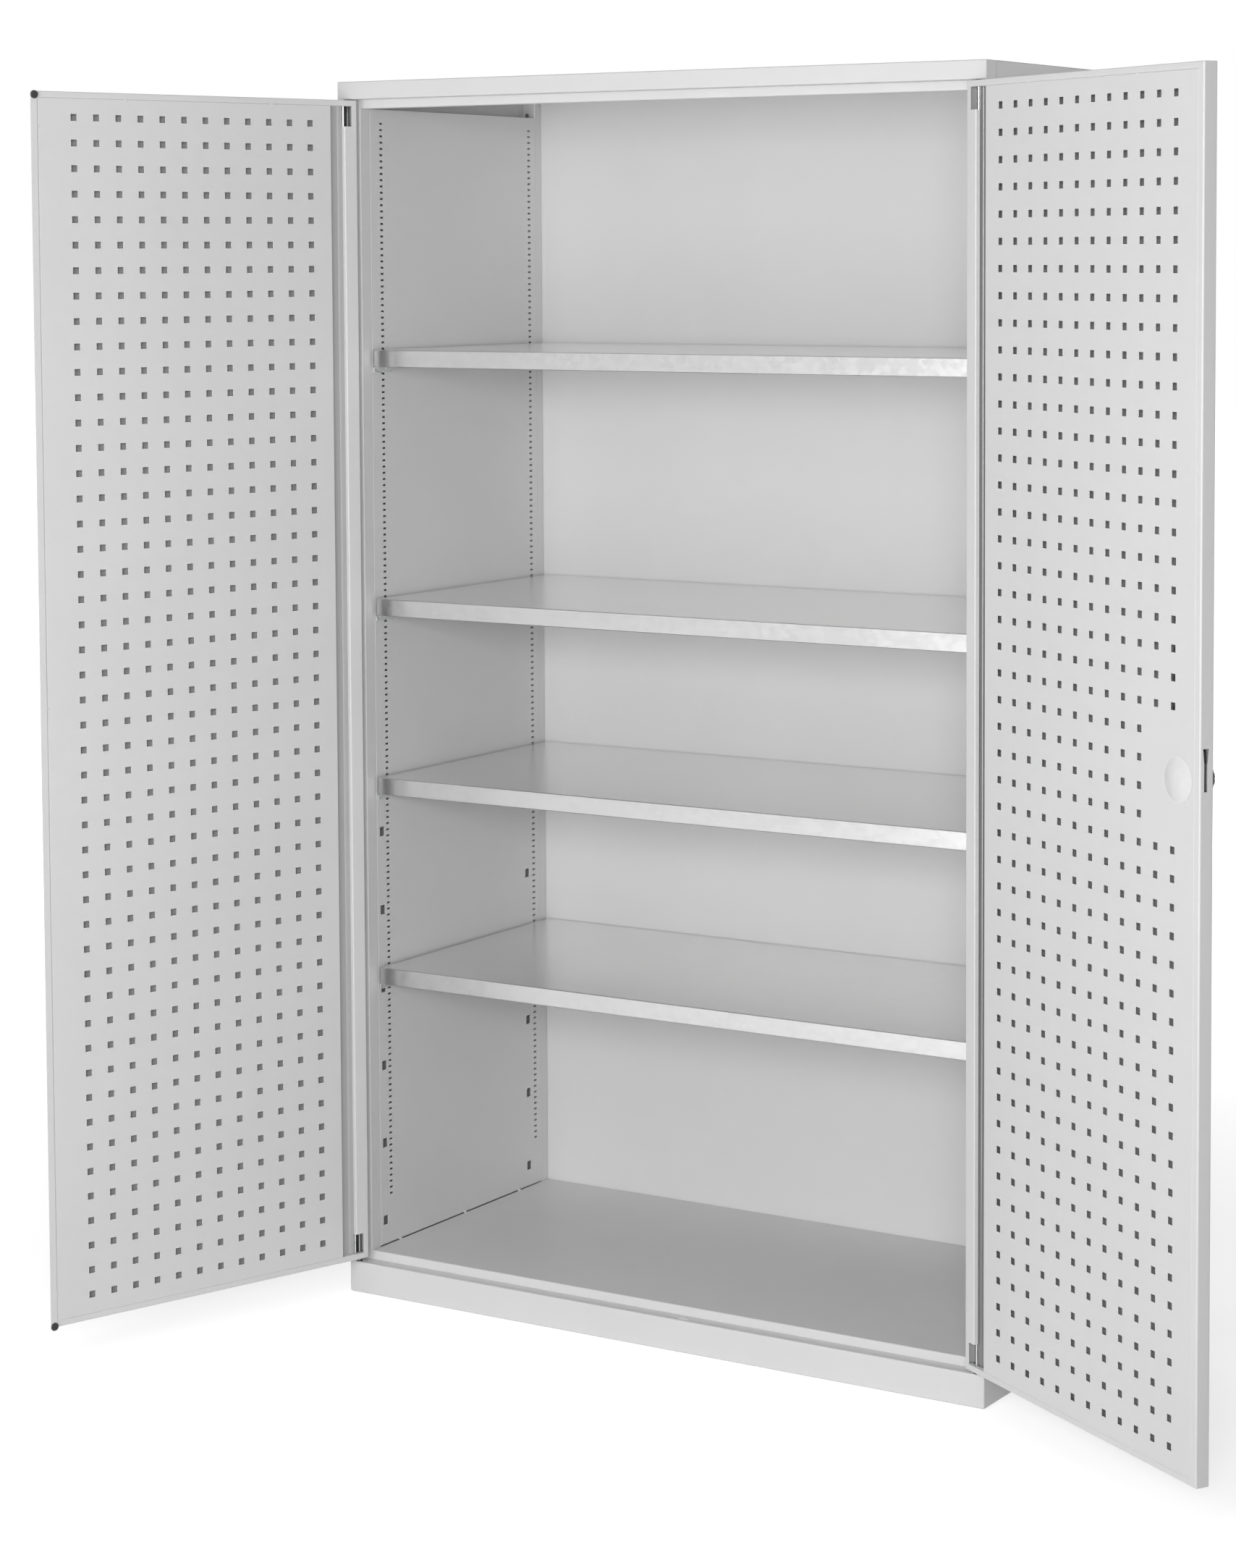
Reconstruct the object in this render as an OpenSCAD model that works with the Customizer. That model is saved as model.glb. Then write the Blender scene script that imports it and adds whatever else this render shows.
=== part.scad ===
// Two-door storage cabinet in folded sheet steel, on a plinth, with perforated
// tool panels inside both doors, four adjustable shelves and a rod lock.
// Origin: centre of the footprint at floor level. +Z up, -Y towards the front.
// Each sub-part is drawn in "case" coordinates (y counted back from the front
// plane) or in "door" coordinates (u out from the hinge axis along the door,
// v from the outer skin towards the inner face), then put in its place.

/* [Case] */
// Overall width
case_w = 1150; // [1140:1:1160]
// Overall depth
case_d = 550; // [545:1:600]
// Overall height
case_h = 1950; // [1948:1:1960]
// Height of the plinth
plinth_h = 50; // [48:1:52]
// Visible height of the header above the doors
header_h = 28; // [26:1:30]
// Sheet thickness of plinth and header
frame_t = 1.5; // [1.2:0.1:1.8]
// Sheet thickness of panels, posts, doors and shelves
sheet_t = 1; // [0.8:0.1:1.2]
// Distance of the door stops behind the front plane
stop_y = 25.5; // [25.5:0.5:28]
// Space behind the back wall
back_gap = 13.5; // [12:0.5:20]
// Width of a front or rear post
post_w = 25; // [23:1:30]

/* [Doors] */
// Hinge axis, in from the side of the case
hinge_in = 14.5; // [14:0.5:16]
// Hinge axis, back from the front plane
hinge_back = 6; // [6:0.5:7]
// Thickness of a door
door_t = 22; // [22:0.5:23]
// Gap between the closed doors
door_gap = 3; // [3:0.5:6]
// Gap between plinth and door
gap_under = 7.5; // [7:0.5:9]
// Gap between door and header
gap_over = 1.5; // [1.4:0.1:2]
// Opening angle of the left door as it stands
left_open = 109; // [90:1:120]
// Opening angle of the right door as it stands
right_open = 149.4; // [120:0.2:160]

/* [Perforation] */
// Grid pitch of the square holes
hole_pitch = 38; // [38:1:38]
// Side of a square hole
hole_side = 10; // [8:0.5:10]
// First column, out from the hinge axis
hole_first_u = 80.5; // [78:0.5:82]

/* [Shelves] */
// Depth of a shelf front edge
shelf_edge = 28; // [24:1:30]
// Gap between a shelf end and the side lining
shelf_gap = 4; // [3:0.5:8]
// Slot steps from the top slot down to each shelf
shelf_steps = [36, 76, 105, 136];
// Pitch of the shelf slots
slot_pitch = 10; // [10:1:10]

/* [Lock] */
// Turn of the handle between open and locked
handle_turn = 50; // [40:1:55]
// Radius of the crank that works the rods
crank_r = 22; // [20:0.5:23]
// Handle axis, in from the free edge of the door
lock_in = 48; // [46:0.5:52]
// Height of the handle axis above the floor
lock_z = 989.5; // [900:0.5:1050]
// Width of a lock rod
rod_w = 14; // [12:1:14]
// Thickness of a lock rod
rod_t = 3; // [2:0.5:3]
// Diameter of the handle knob
knob_d = 40; // [36:1:42]
// Diameter of the cover cap inside the door
cap_d = 64; // [60:1:66]

/* [Hidden] */
$fn = 48;
fit = 0.05;            // radial clearance of a turning fit

grey = "#D6D6D4";
inner_grey = "#BDBDBB";
zinc = "#C8CDD2";
dark = "#2E2E2E";
cap_grey = "#E2E2E0";
knob_grey = "#4A4C4E";

half_w = case_w / 2;
half_clear = half_w - post_w;
back_y = case_d - back_gap;            // inner face of the back wall
header_z = case_h - header_h;
skin_x = half_w - sheet_t;             // inside of the side skin
lining_x = half_clear - sheet_t;       // inside of the side lining
header_return = 31;                    // depth of the header's end returns
side_front_y = 20;                     // front edge of the side panels
side_return = 20;                      // rear return of the side panels
plinth_front_flange = 45;
plinth_side_flange = 30;
plinth_foot = 20;

post_end_y = 51;                       // rear of the front post's side face
rear_post_y = back_y - 19;             // front face of the rear post
post_return = 12;                      // small flanges on posts and linings
post_skin_flange = 14;

stop_h = 14;                           // height of the upper and lower stop lips
floor_z = plinth_h + stop_h;
lining_top = header_z - stop_h + 0.5;
slot_top_z = lining_top - 22.5;
slot_size = [8, 3];
slot_ys = [79.5, rear_post_y - 19.2];
slot_floor_gap = 80;                   // least height of a slot above the floor
slot_count = floor((slot_top_z - floor_z - slot_floor_gap) / slot_pitch) + 1;
window_size = [11.4, 14.7];            // square windows of the side lining
window_pitch = 128;
window_count = 6;
front_windows = [63.8, plinth_h + 54.5]; // y, lowest z
rear_windows = [rear_post_y - 39.5, plinth_h + 50.5];

shelf_front_y = 48;
shelf_rear_y = back_y - 1.5;
shelf_side_edge = 20;
shelf_rib_in = 150;                    // ribs, in from the front and rear edges
clip_front_y = 52;
clip_len = 50;
clip_h = 9;
clip_t = 1.5;
clip_ledge = 8;

hinge_x = half_w - hinge_in;
door_v0 = -hinge_back;                 // outer skin of a door
door_v1 = door_t - hinge_back;         // inner face of a door
hinge_u = -7.5;                        // hinge edge of a door
free_u = hinge_x - door_gap / 2;       // free edge of a door
lock_u = free_u - lock_in;             // handle axis
door_z0 = plinth_h + gap_under;
door_z1 = header_z - gap_over;
door_rim = 9.5;                        // rim above and below the tool panel
hinge_flange = 24;                     // width of the flange at the hinge edge
flange_u = hinge_u + hinge_flange;
channel_v = door_v1 - 8;               // floor of the channel beside it
channel_end_u = 52;
panel_u = 42;                          // hinge-side edge of the tool panel
free_rim = 12;                         // rim at the free edge of the right door
hole_top_z = door_z1 - 38;
hole_end_gap = 39;                     // least distance of a hole from the door's ends
hole_free_gap = 50;                    // and from its free edge
hole_cols = floor((free_u - hole_first_u - hole_free_gap) / hole_pitch) + 1;
hole_rows = floor((hole_top_z - door_z0 - hole_end_gap) / hole_pitch) + 1;

cutout_z = 32;                         // height of the hinge cutouts
cutout_u = 2.5;
pin_r = 3;
pin_collar_r = 4.2;
bush_r = 4.3;
bush_flange_r = 5.2;
bush_flange_t = 1;
bush_depth = 9;
pin_reach = 7;                         // pin length beyond the door edge gap
bracket_t = 1.8;
pin_lug_gap = 6;                       // from door end to the near lug

buffer_r = 6;
buffer_t = 2.1;
buffer_z = [door_z0 + 2, door_z1 - 5.5];
strip_gap = 0.3;                       // strip behind the closed right door
strip_w = 11.5;                        // reach of the stop strip past the edge
strip_leg = 14;
strip_end_r = 6.5;

knob_h = 21.7;
rosette_r = 28;
rosette_t = 3;
spindle_r = 5;
key_r = 9;
key_len = 14;
cap_hole_r = 26;
cap_rise = 5;
pin_swing = handle_turn / 2;
rod_travel = 2 * crank_r * sin(pin_swing);
crank_pin_r = 3;
latch_pin_r = 2.5;
latch_travel = 12;
latch_crank_r = latch_travel / (2 * sin(pin_swing));
rod_v = 3.1;                           // outer side of the rods
rod_in = 53.5;                         // case slots for the rods, from the middle
rod_u = hinge_x - rod_in;
rod_straight = 58;                     // straight end of a rod
rod_inset = 1;                         // rod end inside the door when open
latch_v = 6.4;
latch_t = 2.2;
crank_v = 9.2;
crank_t = 2;
rod_slot = [20, 8];
door_slot = [16, 4.4];
latch_slot_z = [lock_z - 11, lock_z + 23.5, lock_z + 45.5];
latch_slot_wide = [1.6, 11];
latch_slot_narrow = [3.6, 9];
latch_arm_z = [lock_z + 15, lock_z + 26.5];
latch_head_z = [lock_z + 26, lock_z + 43];
latch_hook_z = lock_z + 5;             // lower front corner of the side latch
keeper_z = [lock_z + 3.5, lock_z + 46.5];
lock_room = 60;                        // no holes this close to the lock
lock_case_u = [lock_u - 37, lock_u + 34];
lock_case_reach = 50;

// Placing

// Case coordinates: y is counted back from the front plane.
module in_case() {
  translate([0, -case_d / 2, 0]) children();
}

// Both hands of something drawn for the right-hand side.
module left_hand() {
  mirror([1, 0, 0]) children();
}

// Door coordinates of the left door as it stands open.
module on_left_door() {
  in_case() translate([-hinge_x, hinge_back, 0]) rotate([0, 0, -left_open]) children();
}

// Door coordinates of the right door as it stands open.
module on_right_door() {
  in_case() translate([hinge_x, hinge_back, 0]) mirror([1, 0, 0])
    rotate([0, 0, -right_open]) children();
}

// Shared shapes

// A box between two corners.
module box(a, b) {
  translate(a) cube(b - a);
}

// A rectangle between two corners.
module rect(a, b) {
  translate(a) square(b - a);
}

// An outline in x and z, given a thickness along y from y0 to y1.
module upright(y0, y1) {
  translate([0, y1, 0]) rotate([90, 0, 0]) linear_extrude(y1 - y0) children();
}

// An outline in y and z, given a thickness along x from x0 to x1.
module sideways(x0, x1) {
  translate([x0, 0, 0]) rotate([90, 0, 90]) linear_extrude(x1 - x0) children();
}

// A folded profile in x and y, raised from z0 to z1.
module raised(z0, z1) {
  translate([0, 0, z0]) linear_extrude(z1 - z0) children();
}

// A round bar along v at the lock axis plus an offset.
module lock_bar(r, v0, v1, du = 0, dz = 0) {
  translate([lock_u + du, v1, lock_z + dz]) rotate([90, 0, 0]) cylinder(r = r, h = v1 - v0);
}

// Case

// The openings in plinth ledge and header for a rod and for the hinge bushes.
module rod_and_bush_holes(z0, z1) {
  rod_mid_y = hinge_back + rod_v + rod_t / 2;
  straight = rod_slot[0] - rod_slot[1];
  raised(z0, z1) translate([rod_in, rod_mid_y]) {
    square([straight, rod_slot[1]], center = true);
    for (side = [-1, 1]) translate([side * straight / 2, 0]) circle(d = rod_slot[1]);
  }
  for (side = [-1, 1])
    translate([side * hinge_x, hinge_back, z0]) cylinder(r = bush_r, h = z1 - z0);
}

module plinth_frame() {
  color(grey) in_case() difference() {
    box([-half_w, 0, 0], [half_w, case_d, plinth_h]);
    box([-half_w + frame_t, frame_t, frame_t],
        [half_w - frame_t, case_d - frame_t, plinth_h - frame_t]);
    box([-half_w + plinth_foot, plinth_foot, -1],
        [half_w - plinth_foot, case_d - plinth_foot, frame_t + 1]);
    box([-half_w + plinth_side_flange, plinth_front_flange, plinth_h - frame_t - 1],
        [half_w - plinth_side_flange, case_d - plinth_side_flange, plinth_h + 1]);
    rod_and_bush_holes(plinth_h - frame_t - 1, plinth_h + 1);
  }
}

module floor_panel() {
  color(inner_grey) in_case() {
    box([-half_clear, stop_y, floor_z - sheet_t], [half_clear, post_end_y, floor_z]);
    box([-lining_x, stop_y, floor_z - sheet_t], [lining_x, back_y, floor_z]);
  }
}

// Front flange of the floor panel, the lower stop of the doors.
module floor_lip() {
  color(inner_grey) in_case()
    box([-half_clear, stop_y, plinth_h], [half_clear, stop_y + sheet_t, floor_z - sheet_t]);
}

// Side and rear flanges of the floor panel, which stand on the plinth.
module floor_flanges() {
  end_gap = 0.5;
  color(inner_grey) in_case() {
    for (side = [0, 1]) mirror([side, 0, 0])
      box([lining_x - sheet_t, stop_y + sheet_t + end_gap, plinth_h],
          [lining_x, back_y - sheet_t - end_gap, floor_z - sheet_t]);
    box([-lining_x, back_y - sheet_t, plinth_h], [lining_x, back_y, floor_z - sheet_t]);
  }
}

module header_rail() {
  color(grey) in_case() {
    // Front band with its two end returns
    box([-half_w, 0, header_z], [half_w, frame_t, case_h]);
    for (side = [0, 1]) mirror([side, 0, 0])
      box([half_w - frame_t, 0, header_z], [half_w, header_return, case_h]);
    // Top flange
    box([-half_w, 0, case_h - frame_t], [half_w, header_return, case_h]);
    // Underside with the holes for rod and hinge bushes
    difference() {
      box([-half_w, 0, header_z], [half_w, stop_y + frame_t, header_z + frame_t]);
      rod_and_bush_holes(header_z - 1, header_z + frame_t + 1);
    }
    // Stop lip and its return
    box([-half_clear, stop_y, header_z - stop_h], [half_clear, stop_y + frame_t, header_z + frame_t]);
    box([-half_clear, stop_y, header_z - stop_h],
        [half_clear, stop_y + stop_h, header_z - stop_h + frame_t]);
  }
}

module roof_panel() {
  lap = 16;
  color(grey) in_case() {
    box([-half_w, header_return, case_h - sheet_t], [half_w, case_d, case_h]);
    // Lap under the header's top flange
    box([-skin_x + sheet_t, header_return - lap, case_h - frame_t - sheet_t],
        [skin_x - sheet_t, header_return + lap, case_h - frame_t]);
    box([-skin_x + sheet_t, header_return, case_h - frame_t],
        [skin_x - sheet_t, header_return + lap, case_h - sheet_t]);
    // Rear drop
    box([-skin_x, case_d - sheet_t, case_h - side_return], [skin_x, case_d, case_h]);
  }
}

module back_panel() {
  rear_y = case_d - sheet_t;
  top_z = case_h - sheet_t;
  color(inner_grey) in_case() difference() {
    box([-skin_x, back_y, plinth_h], [skin_x, rear_y, top_z]);
    box([-skin_x + sheet_t, back_y + sheet_t, plinth_h + sheet_t],
        [skin_x - sheet_t, rear_y + 1, top_z - sheet_t]);
  }
}

module side_panel() {
  top_z = case_h - sheet_t;
  in_case() {
    sideways(skin_x, half_w) union() {
      rect([side_front_y, plinth_h], [case_d, header_z]);
      rect([header_return, plinth_h], [case_d, top_z]);
    }
    // Rear return, below the roof's drop
    box([half_w - side_return, case_d - sheet_t, plinth_h],
        [half_w, case_d, case_h - side_return]);
    // Top flange under the roof
    box([half_w - side_return, header_return + side_return, top_z - sheet_t],
        [half_w, back_y, top_z]);
  }
}

module side_panel_left() { color(grey) left_hand() side_panel(); }
module side_panel_right() { color(grey) side_panel(); }

module front_post() {
  in_case() raised(plinth_h, header_z) {
    rect([half_clear, stop_y], [skin_x, stop_y + sheet_t]);
    rect([skin_x - sheet_t, stop_y], [skin_x, stop_y + post_skin_flange]);
    rect([half_clear, stop_y], [half_clear + sheet_t, post_end_y]);
    rect([half_clear, post_end_y - sheet_t], [half_clear + post_return, post_end_y]);
  }
}

module front_post_left() { color(grey) left_hand() front_post(); }
module front_post_right() { color(grey) front_post(); }

module rear_post() {
  plug_x = half_w - 9;
  plug_z = header_z - 9;
  plug_r = 3.5;
  top_z = case_h - 3 * sheet_t;
  in_case() difference() {
    raised(plinth_h, top_z) {
      rect([half_clear, rear_post_y], [skin_x, rear_post_y + sheet_t]);
      rect([skin_x - sheet_t, rear_post_y - post_skin_flange], [skin_x, rear_post_y + sheet_t]);
      rect([half_clear, rear_post_y], [half_clear + sheet_t, back_y]);
      rect([half_clear, back_y - sheet_t], [half_clear + post_return, back_y]);
    }
    translate([plug_x, rear_post_y - 1, plug_z]) rotate([-90, 0, 0]) cylinder(r = plug_r, h = 3);
  }
}

module rear_post_left() { color(grey) left_hand() rear_post(); }
module rear_post_right() { color(grey) rear_post(); }

// Column of shelf slots and column of windows, as outlines in y and z.
module slot_column(y) {
  for (k = [0 : slot_count - 1])
    translate([y, slot_top_z - k * slot_pitch]) square(slot_size, center = true);
}

module window_column(place) {
  for (k = [0 : window_count - 1])
    translate([place[0], place[1] + k * window_pitch]) square(window_size, center = true);
}

module side_lining() {
  in_case() {
    sideways(lining_x, half_clear) difference() {
      rect([post_end_y, plinth_h], [rear_post_y, lining_top]);
      for (y = slot_ys) slot_column(y);
      window_column(front_windows);
      window_column(rear_windows);
    }
    // Flanges against the posts
    box([half_clear - sheet_t, post_end_y, plinth_h],
        [half_clear + post_return, post_end_y + sheet_t, lining_top]);
    box([half_clear - sheet_t, rear_post_y - sheet_t, plinth_h],
        [half_clear + post_return, rear_post_y, lining_top]);
  }
}

module side_lining_left() { color(inner_grey) left_hand() side_lining(); }
module side_lining_right() { color(inner_grey) side_lining(); }

// One hinge bush: a flanged sleeve, its flange towards +z.
module hinge_bush() {
  difference() {
    union() {
      cylinder(r = bush_flange_r, h = bush_flange_t);
      translate([0, 0, -bush_depth]) cylinder(r = bush_r, h = bush_depth);
    }
    translate([0, 0, 1 - bush_depth]) cylinder(r = pin_r + fit, h = bush_depth + bush_flange_t);
  }
}

module hinge_bushes() {
  color(dark) in_case() for (side = [-1, 1]) {
    translate([side * hinge_x, hinge_back, plinth_h]) hinge_bush();
    translate([side * hinge_x, hinge_back, header_z]) mirror([0, 0, 1]) hinge_bush();
  }
}

// Shelves

function shelf_z(n) = slot_top_z - shelf_steps[n] * slot_pitch - sheet_t;

module shelf(n) {
  half = lining_x - shelf_gap;
  top = shelf_z(n);
  hem = 10;
  color(zinc) in_case() {
    box([-half, shelf_front_y, top - sheet_t], [half, shelf_rear_y, top]);
    // Front and rear edges with their hems
    box([-half, shelf_front_y, top - shelf_edge], [half, shelf_front_y + sheet_t, top]);
    box([-half, shelf_front_y, top - shelf_edge],
        [half, shelf_front_y + hem, top - shelf_edge + sheet_t]);
    box([-half, shelf_rear_y - sheet_t, top - shelf_edge], [half, shelf_rear_y, top]);
    box([-half, shelf_rear_y - hem, top - shelf_edge],
        [half, shelf_rear_y, top - shelf_edge + sheet_t]);
    // End edges
    for (side = [0, 1]) mirror([side, 0, 0])
      box([half - sheet_t, shelf_front_y, top - shelf_edge], [half, shelf_rear_y, top]);
    // Two stiffening ribs under the sheet
    for (y = [shelf_front_y + shelf_rib_in, shelf_rear_y - shelf_rib_in])
      box([-half + sheet_t, y, top - shelf_side_edge], [half - sheet_t, y + sheet_t, top - sheet_t]);
  }
}

// One clip for the right-hand side, its tongue hooked through a slot.
module shelf_clip(slot_y, front_y, top) {
  tongue_w = slot_size[0] - 0.4;
  tongue_h = 2.4;
  hook = 4;
  box([lining_x - clip_t, front_y, top - clip_h], [lining_x, front_y + clip_len, top]);
  box([lining_x - clip_ledge, front_y, top - clip_t], [lining_x, front_y + clip_len, top]);
  box([lining_x - clip_t, slot_y - tongue_w / 2, top - tongue_h],
      [half_clear + clip_t, slot_y + tongue_w / 2, top]);
  box([half_clear, slot_y - tongue_w / 2, top - tongue_h - hook],
      [half_clear + clip_t, slot_y + tongue_w / 2, top]);
}

module shelf_clips(n) {
  top = shelf_z(n) - shelf_edge;
  rear_y = slot_ys[1] + slot_ys[0] - clip_front_y - clip_len;
  color(zinc) in_case() for (side = [0, 1]) mirror([side, 0, 0]) {
    shelf_clip(slot_ys[0], clip_front_y, top);
    shelf_clip(slot_ys[1], rear_y, top);
  }
}

module shelf_1() { shelf(0); }
module shelf_2() { shelf(1); }
module shelf_3() { shelf(2); }
module shelf_4() { shelf(3); }
module shelf_clips_1() { shelf_clips(0); }
module shelf_clips_2() { shelf_clips(1); }
module shelf_clips_3() { shelf_clips(2); }
module shelf_clips_4() { shelf_clips(3); }

// Doors

// Outer skin, edge walls, inner rims and hinge channel, in door coordinates.
// side_rim is the width of the rim along the free edge.
module door_tray_body(side_rim) {
  // Outer skin
  box([hinge_u, door_v0, door_z0], [free_u, door_v0 + sheet_t, door_z1]);
  // Hinge wall and free wall
  box([hinge_u, door_v0, door_z0], [hinge_u + sheet_t, door_v1, door_z1]);
  box([free_u - sheet_t, door_v0, door_z0], [free_u, door_v1, door_z1]);
  // End walls with their rims and hems
  for (z = [door_z0, door_z1 - sheet_t])
    box([hinge_u, door_v0, z], [free_u, door_v1, z + sheet_t]);
  for (z = [door_z0, door_z1 - door_rim])
    box([hinge_u, door_v1 - sheet_t, z], [free_u, door_v1, z + door_rim]);
  for (z = [door_z0 + door_rim - sheet_t, door_z1 - door_rim])
    box([panel_u, channel_v, z], [free_u, door_v1, z + sheet_t]);
  if (side_rim > 0)
    box([free_u - side_rim, door_v1 - sheet_t, door_z0], [free_u, door_v1, door_z1]);
  // Hinge flange, its hem wall and the channel floor
  box([hinge_u, door_v1 - sheet_t, door_z0], [flange_u, door_v1, door_z1]);
  box([flange_u - sheet_t, channel_v - sheet_t, door_z0], [flange_u, door_v1, door_z1]);
  box([flange_u - sheet_t, channel_v - sheet_t, door_z0],
      [channel_end_u, channel_v, door_z1]);
}

// Openings for the hinge pins: the cutouts in the flange and the end holes.
module pin_openings() {
  for (z = [door_z0 + door_rim, door_z1 - door_rim - cutout_z])
    box([cutout_u, channel_v, z], [flange_u + 1, door_v1 + 1, z + cutout_z]);
  for (z = [door_z0 - 1, door_z1 - sheet_t - 1])
    translate([0, 0, z]) cylinder(r = pin_collar_r, h = sheet_t + 2);
}

module left_door_tray() {
  color(grey) on_left_door() difference() {
    door_tray_body(0);
    pin_openings();
    // Keeper for the side latch
    box([free_u - sheet_t - 1, latch_slot_wide[0], keeper_z[0]],
        [free_u + 1, latch_slot_wide[1], keeper_z[1]]);
  }
}

module right_door_tray() {
  rod_mid_v = rod_v + rod_t / 2;
  color(grey) on_right_door() difference() {
    door_tray_body(free_rim);
    pin_openings();
    // Latch slot: narrow below, spreading towards its top
    sideways(free_u - sheet_t - 1, free_u + 1) polygon([
      [latch_slot_narrow[0], latch_slot_z[0]], [latch_slot_narrow[1], latch_slot_z[0]],
      [latch_slot_narrow[1], latch_slot_z[1]], [latch_slot_wide[1], latch_slot_z[2]],
      [latch_slot_wide[0], latch_slot_z[2]], [latch_slot_narrow[0], latch_slot_z[1]]
    ]);
    // Slots for the rods in both end walls
    for (z = [door_z0, door_z1 - sheet_t])
      box([rod_u - door_slot[0] / 2, rod_mid_v - door_slot[1] / 2, z - 1],
          [rod_u + door_slot[0] / 2, rod_mid_v + door_slot[1] / 2, z + sheet_t + 1]);
    // Hole for the handle spindle
    lock_bar(spindle_r + 1, door_v0 - 1, door_v0 + sheet_t + 1);
  }
}

// True where the lock leaves no room for a hole.
function over_lock(col, row, with_lock) =
  with_lock && hole_first_u + col * hole_pitch > lock_u - lock_room
    && abs(hole_top_z - row * hole_pitch - lock_z) < lock_room;

// Tool panel: a perforated sheet with four returns, in door coordinates.
// u1 is its edge towards the free edge of the door.
module tool_panel(with_lock, u1) {
  z0 = door_z0 + door_rim;
  z1 = door_z1 - door_rim;
  latch_z = with_lock ? latch_slot_z : keeper_z;
  upright(door_v1 - sheet_t, door_v1) difference() {
    rect([panel_u, z0], [u1, z1]);
    for (col = [0 : hole_cols - 1], row = [0 : hole_rows - 1])
      if (!over_lock(col, row, with_lock))
        translate([hole_first_u + col * hole_pitch, hole_top_z - row * hole_pitch])
          square(hole_side, center = true);
    if (with_lock) translate([lock_u, lock_z]) circle(r = cap_hole_r);
  }
  difference() {
    box([panel_u, channel_v, z0], [u1, door_v1, z1]);
    box([panel_u + sheet_t, channel_v - 1, z0 + sheet_t],
        [u1 - sheet_t, door_v1 + 1, z1 - sheet_t]);
    // Way for the side latch
    box([u1 - sheet_t - 1, channel_v - 1, min(latch_z)], [u1 + 1, latch_slot_wide[1], max(latch_z)]);
  }
}

module left_tool_panel() { color(grey) on_left_door() tool_panel(false, free_u - sheet_t); }
module right_tool_panel() { color(grey) on_right_door() tool_panel(true, free_u - free_rim); }

// Stop strip on the left door's free edge, behind the closed right door.
module left_stop_strip() {
  v0 = door_v1 + strip_gap;
  color(grey) on_left_door() {
    difference() {
      box([free_u, v0 + sheet_t - strip_leg, buffer_z[0]], [free_u + sheet_t, v0 + sheet_t, buffer_z[1]]);
      box([free_u - 1, v0 - strip_leg, keeper_z[0]],
          [free_u + sheet_t + 1, latch_slot_wide[1], keeper_z[1]]);
    }
    upright(v0, v0 + sheet_t) {
      rect([free_u, buffer_z[0]], [free_u + strip_w, buffer_z[1]]);
      for (z = buffer_z) intersection() {
        translate([free_u + strip_w / 2, z]) circle(r = strip_end_r);
        rect([free_u, z - strip_end_r], [free_u + strip_w, z + strip_end_r]);
      }
    }
  }
}

module left_door_buffers() {
  v0 = door_v1 + strip_gap + sheet_t;
  color(dark) on_left_door() for (z = buffer_z)
    translate([free_u + strip_w / 2, v0, z]) rotate([-90, 0, 0]) {
      cylinder(r = buffer_r, h = buffer_t - 0.6);
      translate([0, 0, buffer_t - 0.6]) cylinder(r1 = buffer_r, r2 = buffer_r - 0.8, h = 0.6);
    }
}

// Hinge pins at both ends of a door, in door coordinates.
module hinge_pins() {
  shaft = door_rim + cutout_z + 2 * pin_lug_gap;
  // Lower pin with a shoulder that stands on the bush
  translate([0, 0, plinth_h - pin_reach]) cylinder(r = pin_r, h = gap_under + pin_reach + shaft);
  translate([0, 0, plinth_h + bush_flange_t])
    cylinder(r = pin_collar_r, h = gap_under - bush_flange_t + pin_lug_gap);
  // Upper pin
  translate([0, 0, door_z1 - shaft]) cylinder(r = pin_r, h = gap_over + pin_reach + shaft);
  translate([0, 0, door_z1 - door_rim - cutout_z - pin_lug_gap - bracket_t])
    cylinder(r = pin_collar_r, h = bracket_t);
}

module left_hinge_pins() { color(zinc) on_left_door() hinge_pins(); }
module right_hinge_pins() { color(zinc) on_right_door() hinge_pins(); }

// Bracket that carries one pin: a back plate with two lugs.
module pin_bracket() {
  plate_u = [hinge_u + sheet_t, 14];
  plate_v = [door_v0 + sheet_t, channel_v - sheet_t - 1];
  len = door_rim + cutout_z + pin_lug_gap;
  difference() {
    union() {
      box([plate_u[0], plate_v[0], pin_lug_gap], [plate_u[1], plate_v[0] + bracket_t, len]);
      for (z = [pin_lug_gap, len - bracket_t])
        box([plate_u[0], plate_v[0], z], [plate_u[1], plate_v[1], z + bracket_t]);
    }
    translate([0, 0, pin_lug_gap - 1]) cylinder(r = pin_r, h = len);
  }
}

module pin_brackets() {
  translate([0, 0, door_z0]) pin_bracket();
  translate([0, 0, door_z1]) mirror([0, 0, 1]) pin_bracket();
}

module left_pin_brackets() { color(zinc) on_left_door() pin_brackets(); }
module right_pin_brackets() { color(zinc) on_right_door() pin_brackets(); }

// Lock

module lock_case() {
  plate = lock_case_u;
  reach = lock_case_reach;
  wall = 2;
  skin_v = door_v0 + sheet_t;
  panel_v = door_v1 - sheet_t;
  color(zinc) on_right_door() difference() {
    union() {
      box([plate[0], skin_v, lock_z - reach], [plate[1], skin_v + wall, lock_z + reach]);
      box([plate[0], skin_v, lock_z - reach], [plate[0] + wall, panel_v, lock_z + reach]);
      box([plate[1] - wall, skin_v, lock_z - reach], [plate[1], panel_v, lock_z - reach + 20]);
    }
    lock_bar(spindle_r + fit, skin_v - 1, skin_v + wall + 1);
  }
}

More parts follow.
